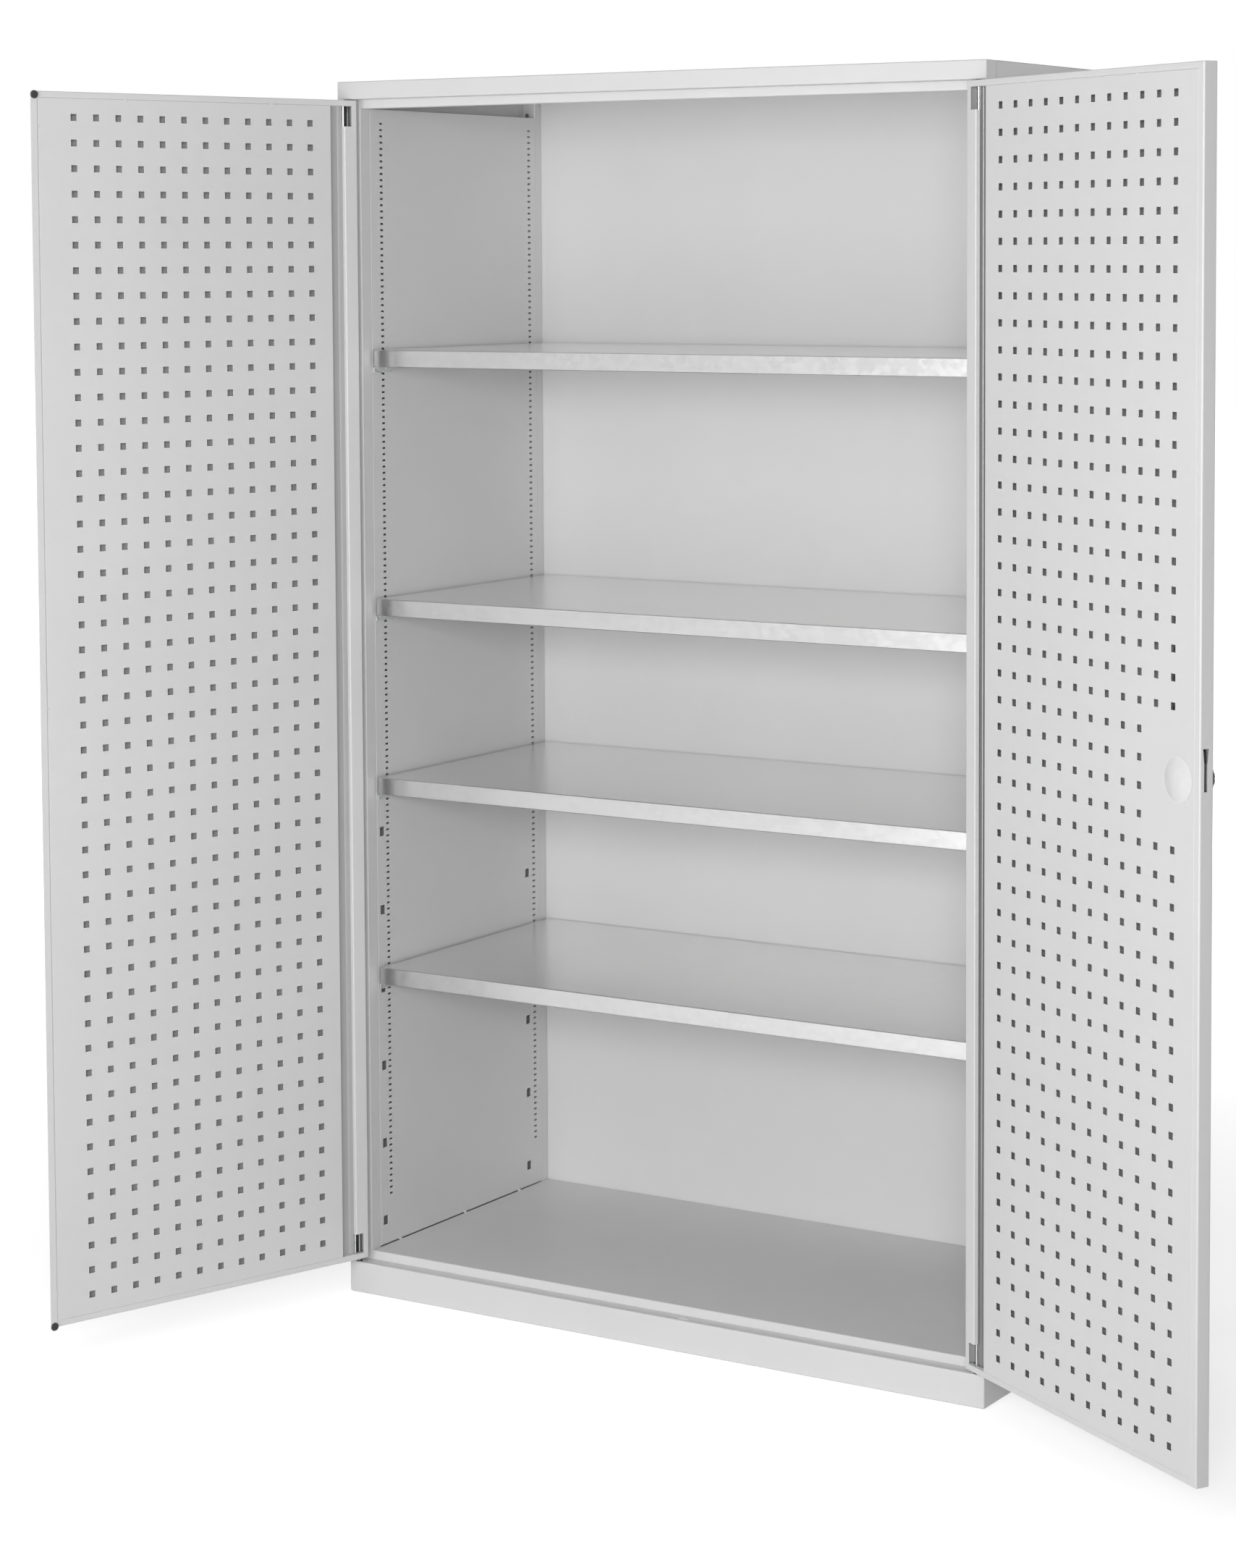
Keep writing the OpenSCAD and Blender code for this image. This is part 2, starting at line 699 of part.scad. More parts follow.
module lock_cover_cap() {
  rim_t = 1.2;
  skirt = 3;
  sphere_r = (pow(cap_d / 2, 2) + pow(cap_rise, 2)) / (2 * cap_rise);
  color(cap_grey) on_right_door() translate([lock_u, door_v1, lock_z]) rotate([-90, 0, 0])
    rotate_extrude($fn = 96) {
      // Shallow dome over the hole
      intersection() {
        difference() {
          translate([0, cap_rise - sphere_r]) circle(r = sphere_r, $fn = 360);
          translate([0, cap_rise - sphere_r - rim_t]) circle(r = sphere_r, $fn = 360);
        }
        rect([0, 0], [cap_d / 2, cap_rise]);
      }
      // Skirt that snaps into the hole
      rect([cap_hole_r - rim_t, -skirt], [cap_hole_r, 1.6]);
    }
}

// Guides that hold a rod to the outer skin.
module rod_guide(z) {
  skin_v = door_v0 + sheet_t;
  wall = 1.5;
  play = 0.4;
  tall = 8;
  u0 = rod_u - rod_w / 2 - play;
  u1 = rod_u + rod_w / 2 + play;
  v1 = rod_v + rod_t + play;
  box([u0 - wall, skin_v, z], [u0, v1 + wall, z + tall]);
  box([u1, skin_v, z], [u1 + wall, v1 + wall, z + tall]);
  box([u0 - wall, v1, z], [u1 + wall, v1 + wall, z + tall]);
  box([u0, skin_v, z], [u1, rod_v - play, z + tall]);
}

module rod_guides() {
  tall = 8;
  color(zinc) on_right_door() {
    rod_guide(door_z0 + 14);
    rod_guide(door_z1 - 14 - tall);
  }
}

module handle_rosette() {
  color(knob_grey) on_right_door() difference() {
    union() {
      lock_bar(rosette_r, door_v0 - rosette_t, door_v0);
      lock_bar(spindle_r + 1, door_v0 - rosette_t, door_v0 + sheet_t);
    }
    lock_bar(spindle_r + fit, door_v0 - rosette_t - 1, door_v0 + sheet_t + 1);
  }
}

module rotary_handle() {
  back_v = door_v0 - rosette_t;
  flutes = 12;
  flute_r = 3;
  color(knob_grey) on_right_door() difference() {
    translate([lock_u, back_v, lock_z]) rotate([90, 0, 0]) union() {
      cylinder(r = knob_d / 2, h = 6);
      linear_extrude(knob_h - 2) difference() {
        circle(r = knob_d / 2);
        for (k = [0 : flutes - 1]) rotate(k * 360 / flutes)
          translate([knob_d / 2 + flute_r - 1, 0]) circle(r = flute_r);
      }
      cylinder(r = knob_d / 2 - 3, h = knob_h);
    }
    lock_bar(key_r + fit, back_v - knob_h - 1, back_v - knob_h + key_len);
    lock_bar(spindle_r, back_v - 6, back_v + 1);
  }
}

module handle_spindle() {
  color(zinc) on_right_door()
    lock_bar(spindle_r, door_v0 - rosette_t - 6, crank_v + crank_t + 1);
}

module crank_plate() {
  arm_w = 12;
  color(zinc) on_right_door() difference() {
    union() {
      translate([lock_u, crank_v + crank_t, lock_z]) rotate([90, 0, 0])
        linear_extrude(crank_t) rotate(pin_swing) union() {
          circle(r = 11);
          square([2 * crank_r, arm_w], center = true);
          for (side = [-1, 1]) translate([side * crank_r, 0]) circle(r = arm_w / 2);
          translate([-arm_w / 2, 0]) square([arm_w, latch_crank_r]);
          translate([0, latch_crank_r]) circle(r = arm_w / 2);
        }
      for (side = [-1, 1])
        lock_bar(crank_pin_r, rod_v - 0.5, crank_v + 0.5,
                 side * crank_r * cos(pin_swing), side * crank_r * sin(pin_swing));
      lock_bar(latch_pin_r, latch_v - 0.3, crank_v + 0.5,
               -latch_crank_r * sin(pin_swing), latch_crank_r * cos(pin_swing));
    }
    lock_bar(spindle_r, crank_v - 1, crank_v + crank_t + 1);
  }
}

module key_cylinder() {
  front_v = door_v0 - rosette_t - knob_h;
  proud = 1.2;
  color("silver") on_right_door() difference() {
    lock_bar(key_r, front_v - proud, front_v + key_len);
    // Key slot
    box([lock_u - 1, front_v - proud - 1, lock_z - 5], [lock_u + 1, front_v + 6, lock_z + 5]);
  }
}

// A rod from its crank pin to its straight end. dir is 1 for up, -1 for down.
module rod(dir) {
  pin_u = lock_u - dir * crank_r * (1 + cos(pin_swing)) / 2;
  pin_z = lock_z - dir * crank_r * sin(pin_swing);
  end_z = dir > 0 ? door_z1 - rod_inset : door_z0 + rod_inset;
  pad = 8.5;
  slot_len = 2 * crank_pin_r + crank_r * (1 - cos(pin_swing)) + 1;
  slot_h = 2 * crank_pin_r + 1;
  tip = 2;
  half = rod_w / 2;
  color(zinc) on_right_door() upright(rod_v, rod_v + rod_t) difference() {
    polygon([
      [pin_u - pad, pin_z - dir * pad],
      [pin_u + pad, pin_z - dir * pad],
      [pin_u + pad, pin_z + dir * pad],
      [pin_u + half, pin_z + dir * pad],
      [rod_u + half, end_z - dir * rod_straight],
      [rod_u + half, end_z - dir * tip],
      [rod_u + half - tip, end_z],
      [rod_u - half + tip, end_z],
      [rod_u - half, end_z - dir * tip],
      [rod_u - half, end_z - dir * rod_straight],
      [pin_u - half, pin_z + dir * pad],
      [pin_u - pad, pin_z + dir * pad]
    ]);
    translate([pin_u, pin_z]) square([slot_len, slot_h], center = true);
  }
}

module upper_rod() { rod(1); }
module lower_rod() { rod(-1); }

module side_latch() {
  pin_u = lock_u - latch_crank_r * sin(pin_swing);
  pin_z = lock_z + latch_crank_r * (1 + cos(pin_swing)) / 2;
  front_u = free_u - 2;
  head_v = [latch_v - 2, latch_v + latch_t];
  slot_w = 2 * latch_pin_r + 1;
  slot_h = 2 * latch_pin_r + latch_crank_r * (1 - cos(pin_swing)) + 1;
  color(zinc) on_right_door() {
    upright(latch_v, latch_v + latch_t) difference() {
      union() {
        rect([pin_u - 6, latch_arm_z[0]], [front_u, latch_arm_z[1]]);
        rect([pin_u - 6, pin_z - 7], [pin_u + 6, latch_arm_z[1]]);
        polygon([
          [front_u - 14, latch_arm_z[0]], [front_u, latch_hook_z],
          [front_u, latch_head_z[1]], [front_u - 14, latch_head_z[1]]
        ]);
      }
      translate([pin_u, pin_z]) square([slot_w, slot_h], center = true);
    }
    box([front_u - 10, head_v[0], latch_head_z[0]], [front_u, head_v[1], latch_head_z[1]]);
  }
}

// Drawing

plinth_frame();
floor_panel();
floor_lip();
floor_flanges();
header_rail();
roof_panel();
back_panel();
side_panel_left();
side_panel_right();
front_post_left();
front_post_right();
rear_post_left();
rear_post_right();
side_lining_left();
side_lining_right();
hinge_bushes();
shelf_1();
shelf_2();
shelf_3();
shelf_4();
shelf_clips_1();
shelf_clips_2();
shelf_clips_3();
shelf_clips_4();
left_door_tray();
left_tool_panel();
left_stop_strip();
left_door_buffers();
left_hinge_pins();
left_pin_brackets();
right_door_tray();
right_tool_panel();
right_hinge_pins();
right_pin_brackets();
lock_case();
lock_cover_cap();
rod_guides();
handle_rosette();
rotary_handle();
handle_spindle();
crank_plate();
key_cylinder();
upper_rod();
lower_rod();
side_latch();
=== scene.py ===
"""Looks of a two-door storage cabinet in folded sheet steel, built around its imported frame.

Sizes are in millimetres in the coordinates the CAD uses. "Case" coordinates count y back from the
front plane. "Door" coordinates have u out from the hinge axis along the door, v from the outer skin
towards the inner face, and z up. Each sub-assembly is a class that holds its sizes and builds and
dresses its own pieces.
"""

import logging
import math
from collections.abc import Callable, Iterable, Sequence
from dataclasses import dataclass, field
from enum import Enum

import bmesh
import bpy
import numpy as np
from mathutils import Matrix, Vector


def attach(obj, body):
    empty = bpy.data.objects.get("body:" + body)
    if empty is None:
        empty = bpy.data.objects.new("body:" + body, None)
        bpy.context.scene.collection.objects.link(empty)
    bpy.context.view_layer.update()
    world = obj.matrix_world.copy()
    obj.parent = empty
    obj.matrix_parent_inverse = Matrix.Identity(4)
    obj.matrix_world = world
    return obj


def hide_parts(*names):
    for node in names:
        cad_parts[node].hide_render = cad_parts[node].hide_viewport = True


MM = 0.001
CASE_W = 1150.0
CASE_D = 550.0
CASE_H = 1950.0
log = logging.getLogger("cabinet")

Point2 = tuple[float, float]
Point3 = tuple[float, float, float]
Box = tuple[Sequence[float], Sequence[float]]
EdgeTest = Callable[[Vector, Vector], bool]
Socket = bpy.types.NodeSocket


class Axis(Enum):
    """Which way an outline is extruded."""

    X = 0
    Y = 1
    Z = 2


class Hand(Enum):
    """Left or right door."""

    LEFT = "left"
    RIGHT = "right"


# Colour and node helpers


def linear(colour: str) -> tuple[float, float, float, float]:
    """Turns an sRGB hex colour into linear RGBA.

    Args:
        colour: six hex digits after a hash.

    Returns:
        Linear red, green, blue and an alpha of 1.
    """
    parts = [int(colour[i : i + 2], 16) / 255 for i in (1, 3, 5)]
    rgb = [c / 12.92 if c <= 0.04045 else ((c + 0.055) / 1.055) ** 2.4 for c in parts]
    return (*rgb, 1.0)


def add_node(
    tree: bpy.types.NodeTree,
    kind: str,
    settings: dict | None = None,
    links: dict | None = None,
) -> bpy.types.Node:
    """Adds a node to a tree.

    Args:
        tree: the node tree.
        kind: the node's Blender type name after "ShaderNode".
        settings: node properties, or input sockets by name or number, with their values.
        links: input sockets by name or number, with the output sockets that feed them.

    Returns:
        The new node.
    """
    node = tree.nodes.new(f"ShaderNode{kind}")
    for key, value in (settings or {}).items():
        if isinstance(key, str) and hasattr(node, key):
            setattr(node, key, value)
        else:
            node.inputs[key].default_value = value
    for key, socket in (links or {}).items():
        tree.links.new(socket, node.inputs[key])
    return node


@dataclass
class Surface:
    """One material being drawn: its node tree, its Principled shader and its coordinates."""

    tree: bpy.types.NodeTree
    shader: bpy.types.Node
    coords: Socket

    def feed(self, name: str, value: Socket) -> None:
        """Links a value to one of the shader's inputs."""
        self.tree.links.new(value, self.shader.inputs[name])

    def combined(self, operation: str, a: Socket, b: Socket) -> Socket:
        """One sum or product of two values."""
        return add_node(self.tree, "Math", {"operation": operation}, {0: a, 1: b}).outputs[0]

    def mapped(
        self, value: Socket, start: float, end: float, low: float = 0.0, high: float = 1.0
    ) -> Socket:
        """Maps the range from start to end to the range from low to high."""
        limits = {1: start, 2: end, 3: low, 4: high}
        return add_node(self.tree, "MapRange", limits, {0: value}).outputs[0]

    def spread(self, value: Socket, low: float, high: float) -> Socket:
        """Maps a noise value, which keeps mostly between 0.3 and 0.7, to a range."""
        return self.mapped(value, 0.3, 0.7, low, high)

    def noise(
        self, size_mm: float, detail: float = 2.0, stretch: Sequence[float] = (1, 1, 1)
    ) -> Socket:
        """A noise pattern with features of a real size.

        Args:
            size_mm: size of one feature.
            detail: octaves.
            stretch: how many times longer a feature is along x, y and z.

        Returns:
            The noise value, around 0.5.
        """
        scale = {"Scale": tuple(1 / (size_mm * MM * s) for s in stretch)}
        place = add_node(self.tree, "Mapping", scale, {"Vector": self.coords})
        return add_node(
            self.tree, "TexNoise", {"Scale": 1.0, "Detail": detail}, {"Vector": place.outputs[0]}
        ).outputs["Fac"]

    def tint(self, colour: str, shade: Socket) -> None:
        """Gives the shader a colour, multiplied by a shade."""
        settings = {
            "data_type": "RGBA", "blend_type": "MULTIPLY", "Factor": 1.0, 6: linear(colour)
        }
        self.feed("Base Color", add_node(self.tree, "Mix", settings, {7: shade}).outputs[2])

    def bump(self, height: Socket, depth_mm: float, over: Socket | None = None) -> Socket:
        """Gives the shader a relief.

        Args:
            height: the relief's pattern.
            depth_mm: its depth.
            over: the normals of a coarser relief that it lies on.

        Returns:
            The normals of the relief.
        """
        links = {"Height": height}
        if over is not None:
            links["Normal"] = over
        settings = {"Strength": 1.0, "Distance": depth_mm * MM}
        normals = add_node(self.tree, "Bump", settings, links).outputs[0]
        self.feed("Normal", normals)
        return normals


# Finishes


@dataclass(frozen=True)
class Finish:
    """A finish: what the material is, the record's slot it takes, and how it is drawn."""

    name: str
    slot: str
    colour: str
    roughness: float

    def material(self) -> bpy.types.Material:
        """Returns the Blender material, made on first use."""
        found = bpy.data.materials.get(self.name)
        if found:
            return found
        mat = bpy.data.materials.new(self.name)
        mat.use_nodes = True
        tree = mat.node_tree
        tree.nodes.clear()
        shader = add_node(tree, "BsdfPrincipled", {"Roughness": self.roughness})
        out = add_node(tree, "OutputMaterial", None, {"Surface": shader.outputs[0]})
        out.is_active_output = True
        self.draw(Surface(tree, shader, add_node(tree, "TexCoord").outputs["Object"]))
        return mat

    def draw(self, look: Surface) -> None:
        """Adds the pattern nodes to a surface."""
        raise NotImplementedError


@dataclass(frozen=True)
class PowderCoat(Finish):
    """Polyester powder coat, sprayed on steel and baked.

    The melted powder levels to a satin skin with a fine orange peel, over sheet that is never quite
    flat, so broad reflections waver a little. Real peel is about 1.5 mm from crest to crest, too
    fine to show here, so it is drawn at 4 mm.
    """

    peel_mm: float = 4.0
    peel_depth: float = 0.012
    wave_mm: float = 330.0
    wave_depth: float = 0.35
    mottle_mm: float = 260.0
    marks_mm: float = 34.0
    gloss_mm: float = 90.0

    def draw(self, look: Surface) -> None:
        """Adds peel, waviness, mottle and slight handling marks."""
        mottle = look.spread(look.noise(self.mottle_mm, 3.0), 0.985, 1.012)
        marks = look.spread(look.noise(self.marks_mm, 5.0), 0.994, 1.004)
        look.tint(self.colour, look.combined("MULTIPLY", mottle, marks))
        gloss = look.noise(self.gloss_mm, 3.0)
        look.feed("Roughness", look.spread(gloss, self.roughness - 0.03, self.roughness + 0.04))
        wave = look.bump(look.noise(self.wave_mm, 1.0), self.wave_depth)
        look.bump(look.noise(self.peel_mm, 1.0), self.peel_depth, wave)


@dataclass(frozen=True)
class Metal(Finish):
    """A bare or plated metal."""

    def draw(self, look: Surface) -> None:
        """Makes the shader a metal."""
        look.shader.inputs["Metallic"].default_value = 1.0


@dataclass(frozen=True)
class GalvanisedSheet(Metal):
    """Hot-dip galvanised steel sheet, skin-passed between rollers.

    The zinc freezes in crystals about 9 mm across that differ a little in tone, and the rollers
    leave faint streaks along the sheet. The eye gets a pale, blurred mirror with a barely visible
    patchwork. Faces that point up are drawn brighter, as painted light on the shelf tops.
    """

    spangle_mm: float = 9.0
    warp_scale: float = 70.0
    warp_depth: float = 0.012
    other: str = "#C9C9C9"
    painted_top_light: float = 1.5
    streak_mm: float = 2.5
    cloud_mm: float = 150.0
    wave_mm: float = 300.0
    wave_depth: float = 0.3

    def draw(self, look: Surface) -> None:
        """Adds spangle, roller streaks, painted light on the upward faces and a slight wave."""
        super().draw(look)
        tree = look.tree
        stir = add_node(tree, "TexNoise", {"Scale": self.warp_scale}, {"Vector": look.coords})
        warp = add_node(
            tree,
            "VectorMath",
            {"operation": "MULTIPLY_ADD", 1: (self.warp_depth,) * 3},
            {0: stir.outputs["Color"], 2: look.coords},
        )
        size = {"Scale": 1 / (self.spangle_mm * MM)}
        cells = add_node(tree, "TexVoronoi", size, {"Vector": warp.outputs[0]}).outputs["Color"]
        grain = add_node(tree, "SeparateColor", None, {"Color": cells}).outputs[0]
        streaks = look.noise(self.streak_mm, 2.0, (90, 1, 1))
        tone = look.combined("ADD", grain, streaks)
        tone = look.combined("ADD", tone, look.noise(self.cloud_mm, 3.0))
        tint = add_node(
            tree,
            "Mix",
            {"data_type": "RGBA", 6: linear(self.colour), 7: linear(self.other)},
            {"Factor": look.mapped(tone, 0.7, 2.1)},
        ).outputs[2]
        # Painted light: faces that point up are drawn brighter, standing in for light falling on
        # the shelf tops.
        normal = add_node(tree, "NewGeometry").outputs["True Normal"]
        upward = add_node(tree, "SeparateXYZ", None, {0: normal}).outputs[2]
        tint = add_node(
            tree,
            "Mix",
            {"data_type": "RGBA", "blend_type": "MULTIPLY", 7: (*(self.painted_top_light,) * 3, 1.0)},
            {"Factor": look.mapped(upward, 0.95, 0.99), 6: tint},
        ).outputs[2]
        look.feed("Base Color", tint)
        gloss = look.mapped(grain, 0.0, 1.0, self.roughness - 0.02, self.roughness + 0.02)
        look.feed("Roughness", gloss)
        look.bump(look.noise(self.wave_mm, 1.0), self.wave_depth)


@dataclass(frozen=True)
class BarrelPlate(Metal):
    """Zinc or nickel, plated on small parts in a turning barrel.

    The plating has a faint cloudiness from tumbling against the other parts.
    """

    cloud_mm: float = 9.0
    gloss_mm: float = 7.0

    def draw(self, look: Surface) -> None:
        """Adds cloudy tone and roughness."""
        super().draw(look)
        look.tint(self.colour, look.spread(look.noise(self.cloud_mm), 0.95, 1.0))
        gloss = look.noise(self.gloss_mm)
        look.feed("Roughness", look.spread(gloss, self.roughness - 0.03, self.roughness + 0.05))


@dataclass(frozen=True)
class RolledSteel(Metal):
    """Cold-rolled steel strip, left bare but for a film of oil.

    The mill draws fine lines along the strip, about 0.2 mm apart and drawn here at 1.2 mm. It is
    darker than zinc, and reflects as long soft streaks.
    """

    streak_mm: float = 1.2

    def draw(self, look: Surface) -> None:
        """Adds streaks along the strip, which stands upright."""
        super().draw(look)
        lines = look.noise(self.streak_mm, 2.0, (1, 1, 220))
        look.tint(self.colour, look.spread(lines, 0.72, 1.1))
        look.feed("Roughness", look.spread(lines, self.roughness - 0.05, self.roughness + 0.08))


@dataclass(frozen=True)
class Moulded(Finish):
    """A moulded plastic or rubber part with the fine texture of its mould.

    grain_mm is the crest spacing of the mould's texture and grain_depth its depth, which set how
    the highlight breaks up. Spark-eroded moulds have a real grain under 0.3 mm, drawn at 1 mm.
    """

    grain_mm: float = 1.0
    grain_depth: float = 0.02
    marks_mm: float = 12.0

    def draw(self, look: Surface) -> None:
        """Adds mould grain and faint handling marks."""
        look.tint(self.colour, look.spread(look.noise(self.marks_mm, 4.0), 0.97, 1.02))
        look.bump(look.noise(self.grain_mm), self.grain_depth)


LIGHT_GREY_PAINT = PowderCoat("light_grey_powder_coat", "light_grey_paint", "#D6D6D6", 0.36)
# Painted shade: a darker grey paint that stands in for the shade in the left door's hinge channel.
CHANNEL_SHADE_PAINT = PowderCoat("channel_shade_paint", "galvanised_steel", "#B0B0B0", 0.45)
GALVANISED = GalvanisedSheet("galvanised_sheet", "galvanised_steel", "#C2C2C2", 0.25)
# Painted shade: a dark steel that stands in for the shade in the right door's hinge channel.
CHANNEL_SHADE_STEEL = RolledSteel("channel_shade_steel", "galvanised_steel", "#8C8C8C", 0.32)
ZINC = BarrelPlate("zinc_plated_steel", "zinc_hardware", "#D6D7D8", 0.28)
# Painted shade: zinc drawn much darker than plain zinc, standing in for the shade on the hinge pins
# and brackets inside the door.
SHADE_DARK_ZINC = BarrelPlate("shade_darkened_zinc_plate", "zinc_hardware", "#8E8F90", 0.5)
# Painted shade: the latch's zinc drawn near black, standing in for the shade inside the latch slot.
SHADE_DARK_LATCH_ZINC = BarrelPlate("shade_darkened_latch_zinc", "zinc_hardware", "#33312F", 0.4)
NICKEL = BarrelPlate("nickel_plated_brass", "nickel_cylinder", "#D8D5CF", 0.16)
NYLON = Moulded("black_nylon", "nylon_bush", "#2B2B2B", 0.45)
RUBBER = Moulded("black_epdm_rubber", "black_rubber", "#2A2A2A", 0.62, 1.2, 0.03)
CAP_ABS = Moulded("pale_grey_abs", "pale_plastic", "#DADADA", 0.28, 2.0, 0.004)
HANDLE_PA = Moulded("dark_grey_polyamide", "dark_plastic", "#45474A", 0.42)


# Shells: closed meshes in millimetres


@dataclass
class Shell:
    """A closed mesh: its points, and its faces as lists of point numbers."""

    points: list[Point3]
    faces: list[tuple[int, ...]]

    def moved(self, matrix: Matrix) -> "Shell":
        """Returns a copy moved by a matrix."""
        return Shell([tuple(matrix @ Vector(p)) for p in self.points], list(self.faces))


def joined(shells: Iterable[Shell]) -> Shell:
    """Puts several shells into one, still as separate closed meshes."""
    points: list = []
    faces: list = []
    for shell in shells:
        start = len(points)
        points += shell.points
        faces += [tuple(i + start for i in f) for f in shell.faces]
    return Shell(points, faces)


def tipped(at: Sequence[float], degrees: float) -> Matrix:
    """Tips a shape about the x axis and then moves it to a point."""
    return Matrix.Translation(at) @ Matrix.Rotation(math.radians(degrees), 4, "X")


def arc(
    centre: Point2, radius: float, first: float, span: float, steps: int, last: bool = True
) -> list[Point2]:
    """Points along a round arc.

    Args:
        centre: the arc's centre.
        radius: its radius.
        first: the angle it starts at, in degrees.
        span: how far it turns, in degrees.
        steps: how many equal steps it has.
        last: False leaves out the end point, for a full circle.

    Returns:
        The points.
    """
    angles = [math.radians(first + span * k / steps) for k in range(steps + last)]
    return [(centre[0] + radius * math.cos(a), centre[1] + radius * math.sin(a)) for a in angles]


def near(value: float, *others: float) -> bool:
    """True if a value is within 0.01 mm of one of the others."""
    return min(abs(value - other) for other in others) < 0.01


def along(axis: Axis, a: float, b: float, height: float) -> Point3:
    """Places an outline point: (a, b) in the outline's plane, height along the axis."""
    if axis is Axis.X:
        return (height, a, b)
    if axis is Axis.Y:
        return (a, height, b)
    return (a, b, height)


def prism(outline: Sequence[Point2], axis: Axis, low: float, high: float) -> Shell:
    """Extrudes a closed outline.

    Args:
        outline: the outline's corners in order.
        axis: the direction of extrusion; the outline holds the other two coordinates in order.
        low: start of the extrusion.
        high: its end.

    Returns:
        The closed shell.
    """
    n = len(outline)
    points = [along(axis, a, b, h) for h in (low, high) for a, b in outline]
    faces: list[tuple[int, ...]] = [tuple(range(n)), tuple(range(2 * n - 1, n - 1, -1))]
    faces += [(i, (i + 1) % n, (i + 1) % n + n, i + n) for i in range(n)]
    return Shell(points, faces)


def block(low: Sequence[float], high: Sequence[float]) -> Shell:
    """A plain box, used as a cutter or a hidden rib."""
    outline = [(low[0], low[1]), (high[0], low[1]), (high[0], high[1]), (low[0], high[1])]
    return prism(outline, Axis.Z, low[2], high[2])


def folded(path: Sequence[Point2], thick: float, radii: Sequence[float]) -> list[Point2]:
    """The outline of a sheet folded along a path through the middle of its thickness.

    Args:
        path: the corners of the path.
        thick: sheet thickness.
        radii: outside bend radius at each inner corner of the path.

    Returns:
        The closed outline, with each bend rounded on both faces.
    """
    steps = 5
    middle: list[tuple[Vector, Vector]] = []
    pts = [Vector(p) for p in path]
    for i, p in enumerate(pts):
        if i in (0, len(pts) - 1):
            d = (pts[1] - p if i == 0 else p - pts[i - 1]).normalized()
            middle.append((p, Vector((-d.y, d.x))))
            continue
        d1, d2 = (p - pts[i - 1]).normalized(), (pts[i + 1] - p).normalized()
        side = 1 if d1.x * d2.y - d1.y * d2.x > 0 else -1
        turn = d1.angle(d2)
        radius = max(radii[i - 1] - thick / 2, thick * 0.6)
        start = p - d1 * radius * math.tan(turn / 2)
        centre = start + Vector((-d1.y, d1.x)) * side * radius
        for k in range(steps + 1):
            spin = Matrix.Rotation(side * turn * k / steps, 2)
            out = spin @ (start - centre)
            middle.append((centre + out, -out.normalized() * side))
    left = [tuple(p + n * thick / 2) for p, n in middle]
    right = [tuple(p - n * thick / 2) for p, n in middle]
    return left + right[::-1]


def mitred_loop(
    x0: float, x1: float, y0: float, y1: float, z: float, corner: float
) -> list[Point3]:
    """A rectangle with rounded corners at one height, always with the same number of points.

    Args:
        x0: its least x.
        x1: its greatest x.
        y0: its least y.
        y1: its greatest y.
        z: its height.
        corner: its corner radius.

    Returns:
        The points in order.
    """
    loop = []
    for centre, first in (
        ((x1 - corner, y0 + corner), -90),
        ((x1 - corner, y1 - corner), 0),
        ((x0 + corner, y1 - corner), 90),
        ((x0 + corner, y0 + corner), 180),
    ):
        loop += [(x, y, z) for x, y in arc(centre, corner, first, 90, 4)]
    return loop


def stacked(loops: Sequence[Sequence[Point3]], ring: bool) -> Shell:
    """Joins loops of equal length one after the other.

    Args:
        loops: the loops.
        ring: True joins the last loop to the first, False closes both with a face.

    Returns:
        The closed shell.
    """
    n, count = len(loops[0]), len(loops)
    points = [p for loop in loops for p in loop]
    faces: list[tuple[int, ...]] = []
    for j in range(count if ring else count - 1):
        a, b = j * n, (j + 1) % count * n
        faces += [(a + i, a + (i + 1) % n, b + (i + 1) % n, b + i) for i in range(n)]
    if not ring:
        faces += [tuple(range(n))[::-1], tuple(range((count - 1) * n, count * n))]
    return Shell(points, faces)


def turned(profile: Sequence[Point2], steps: int) -> Shell:
    """Turns a profile about the z axis.

    Args:
        profile: points of radius and height, the first and the last on the axis.
        steps: number of points in a ring.

    Returns:
        The closed shell.
    """
    rings = profile[1:-1]
    points = [(0.0, 0.0, profile[0][1])]
    for r, h in rings:
        for k in range(steps):
            a = math.tau * k / steps
            points.append((r * math.cos(a), r * math.sin(a), h))
    points.append((0.0, 0.0, profile[-1][1]))
    faces: list[tuple[int, ...]] = []
    for k in range(steps):
        m = (k + 1) % steps
        faces.append((0, 1 + m, 1 + k))
        for j in range(len(rings) - 1):
            a, b = 1 + j * steps, 1 + (j + 1) * steps
            faces.append((a + k, a + m, b + m, b + k))
        last = 1 + (len(rings) - 1) * steps
        faces.append((last + k, last + m, len(points) - 1))
    return Shell(points, faces)


def drill(radius: float, low: float, high: float, steps: int = 24) -> Shell:
    """A round cutter on the z axis."""
    return turned([(0, low), (radius, low), (radius, high), (0, high)], steps)


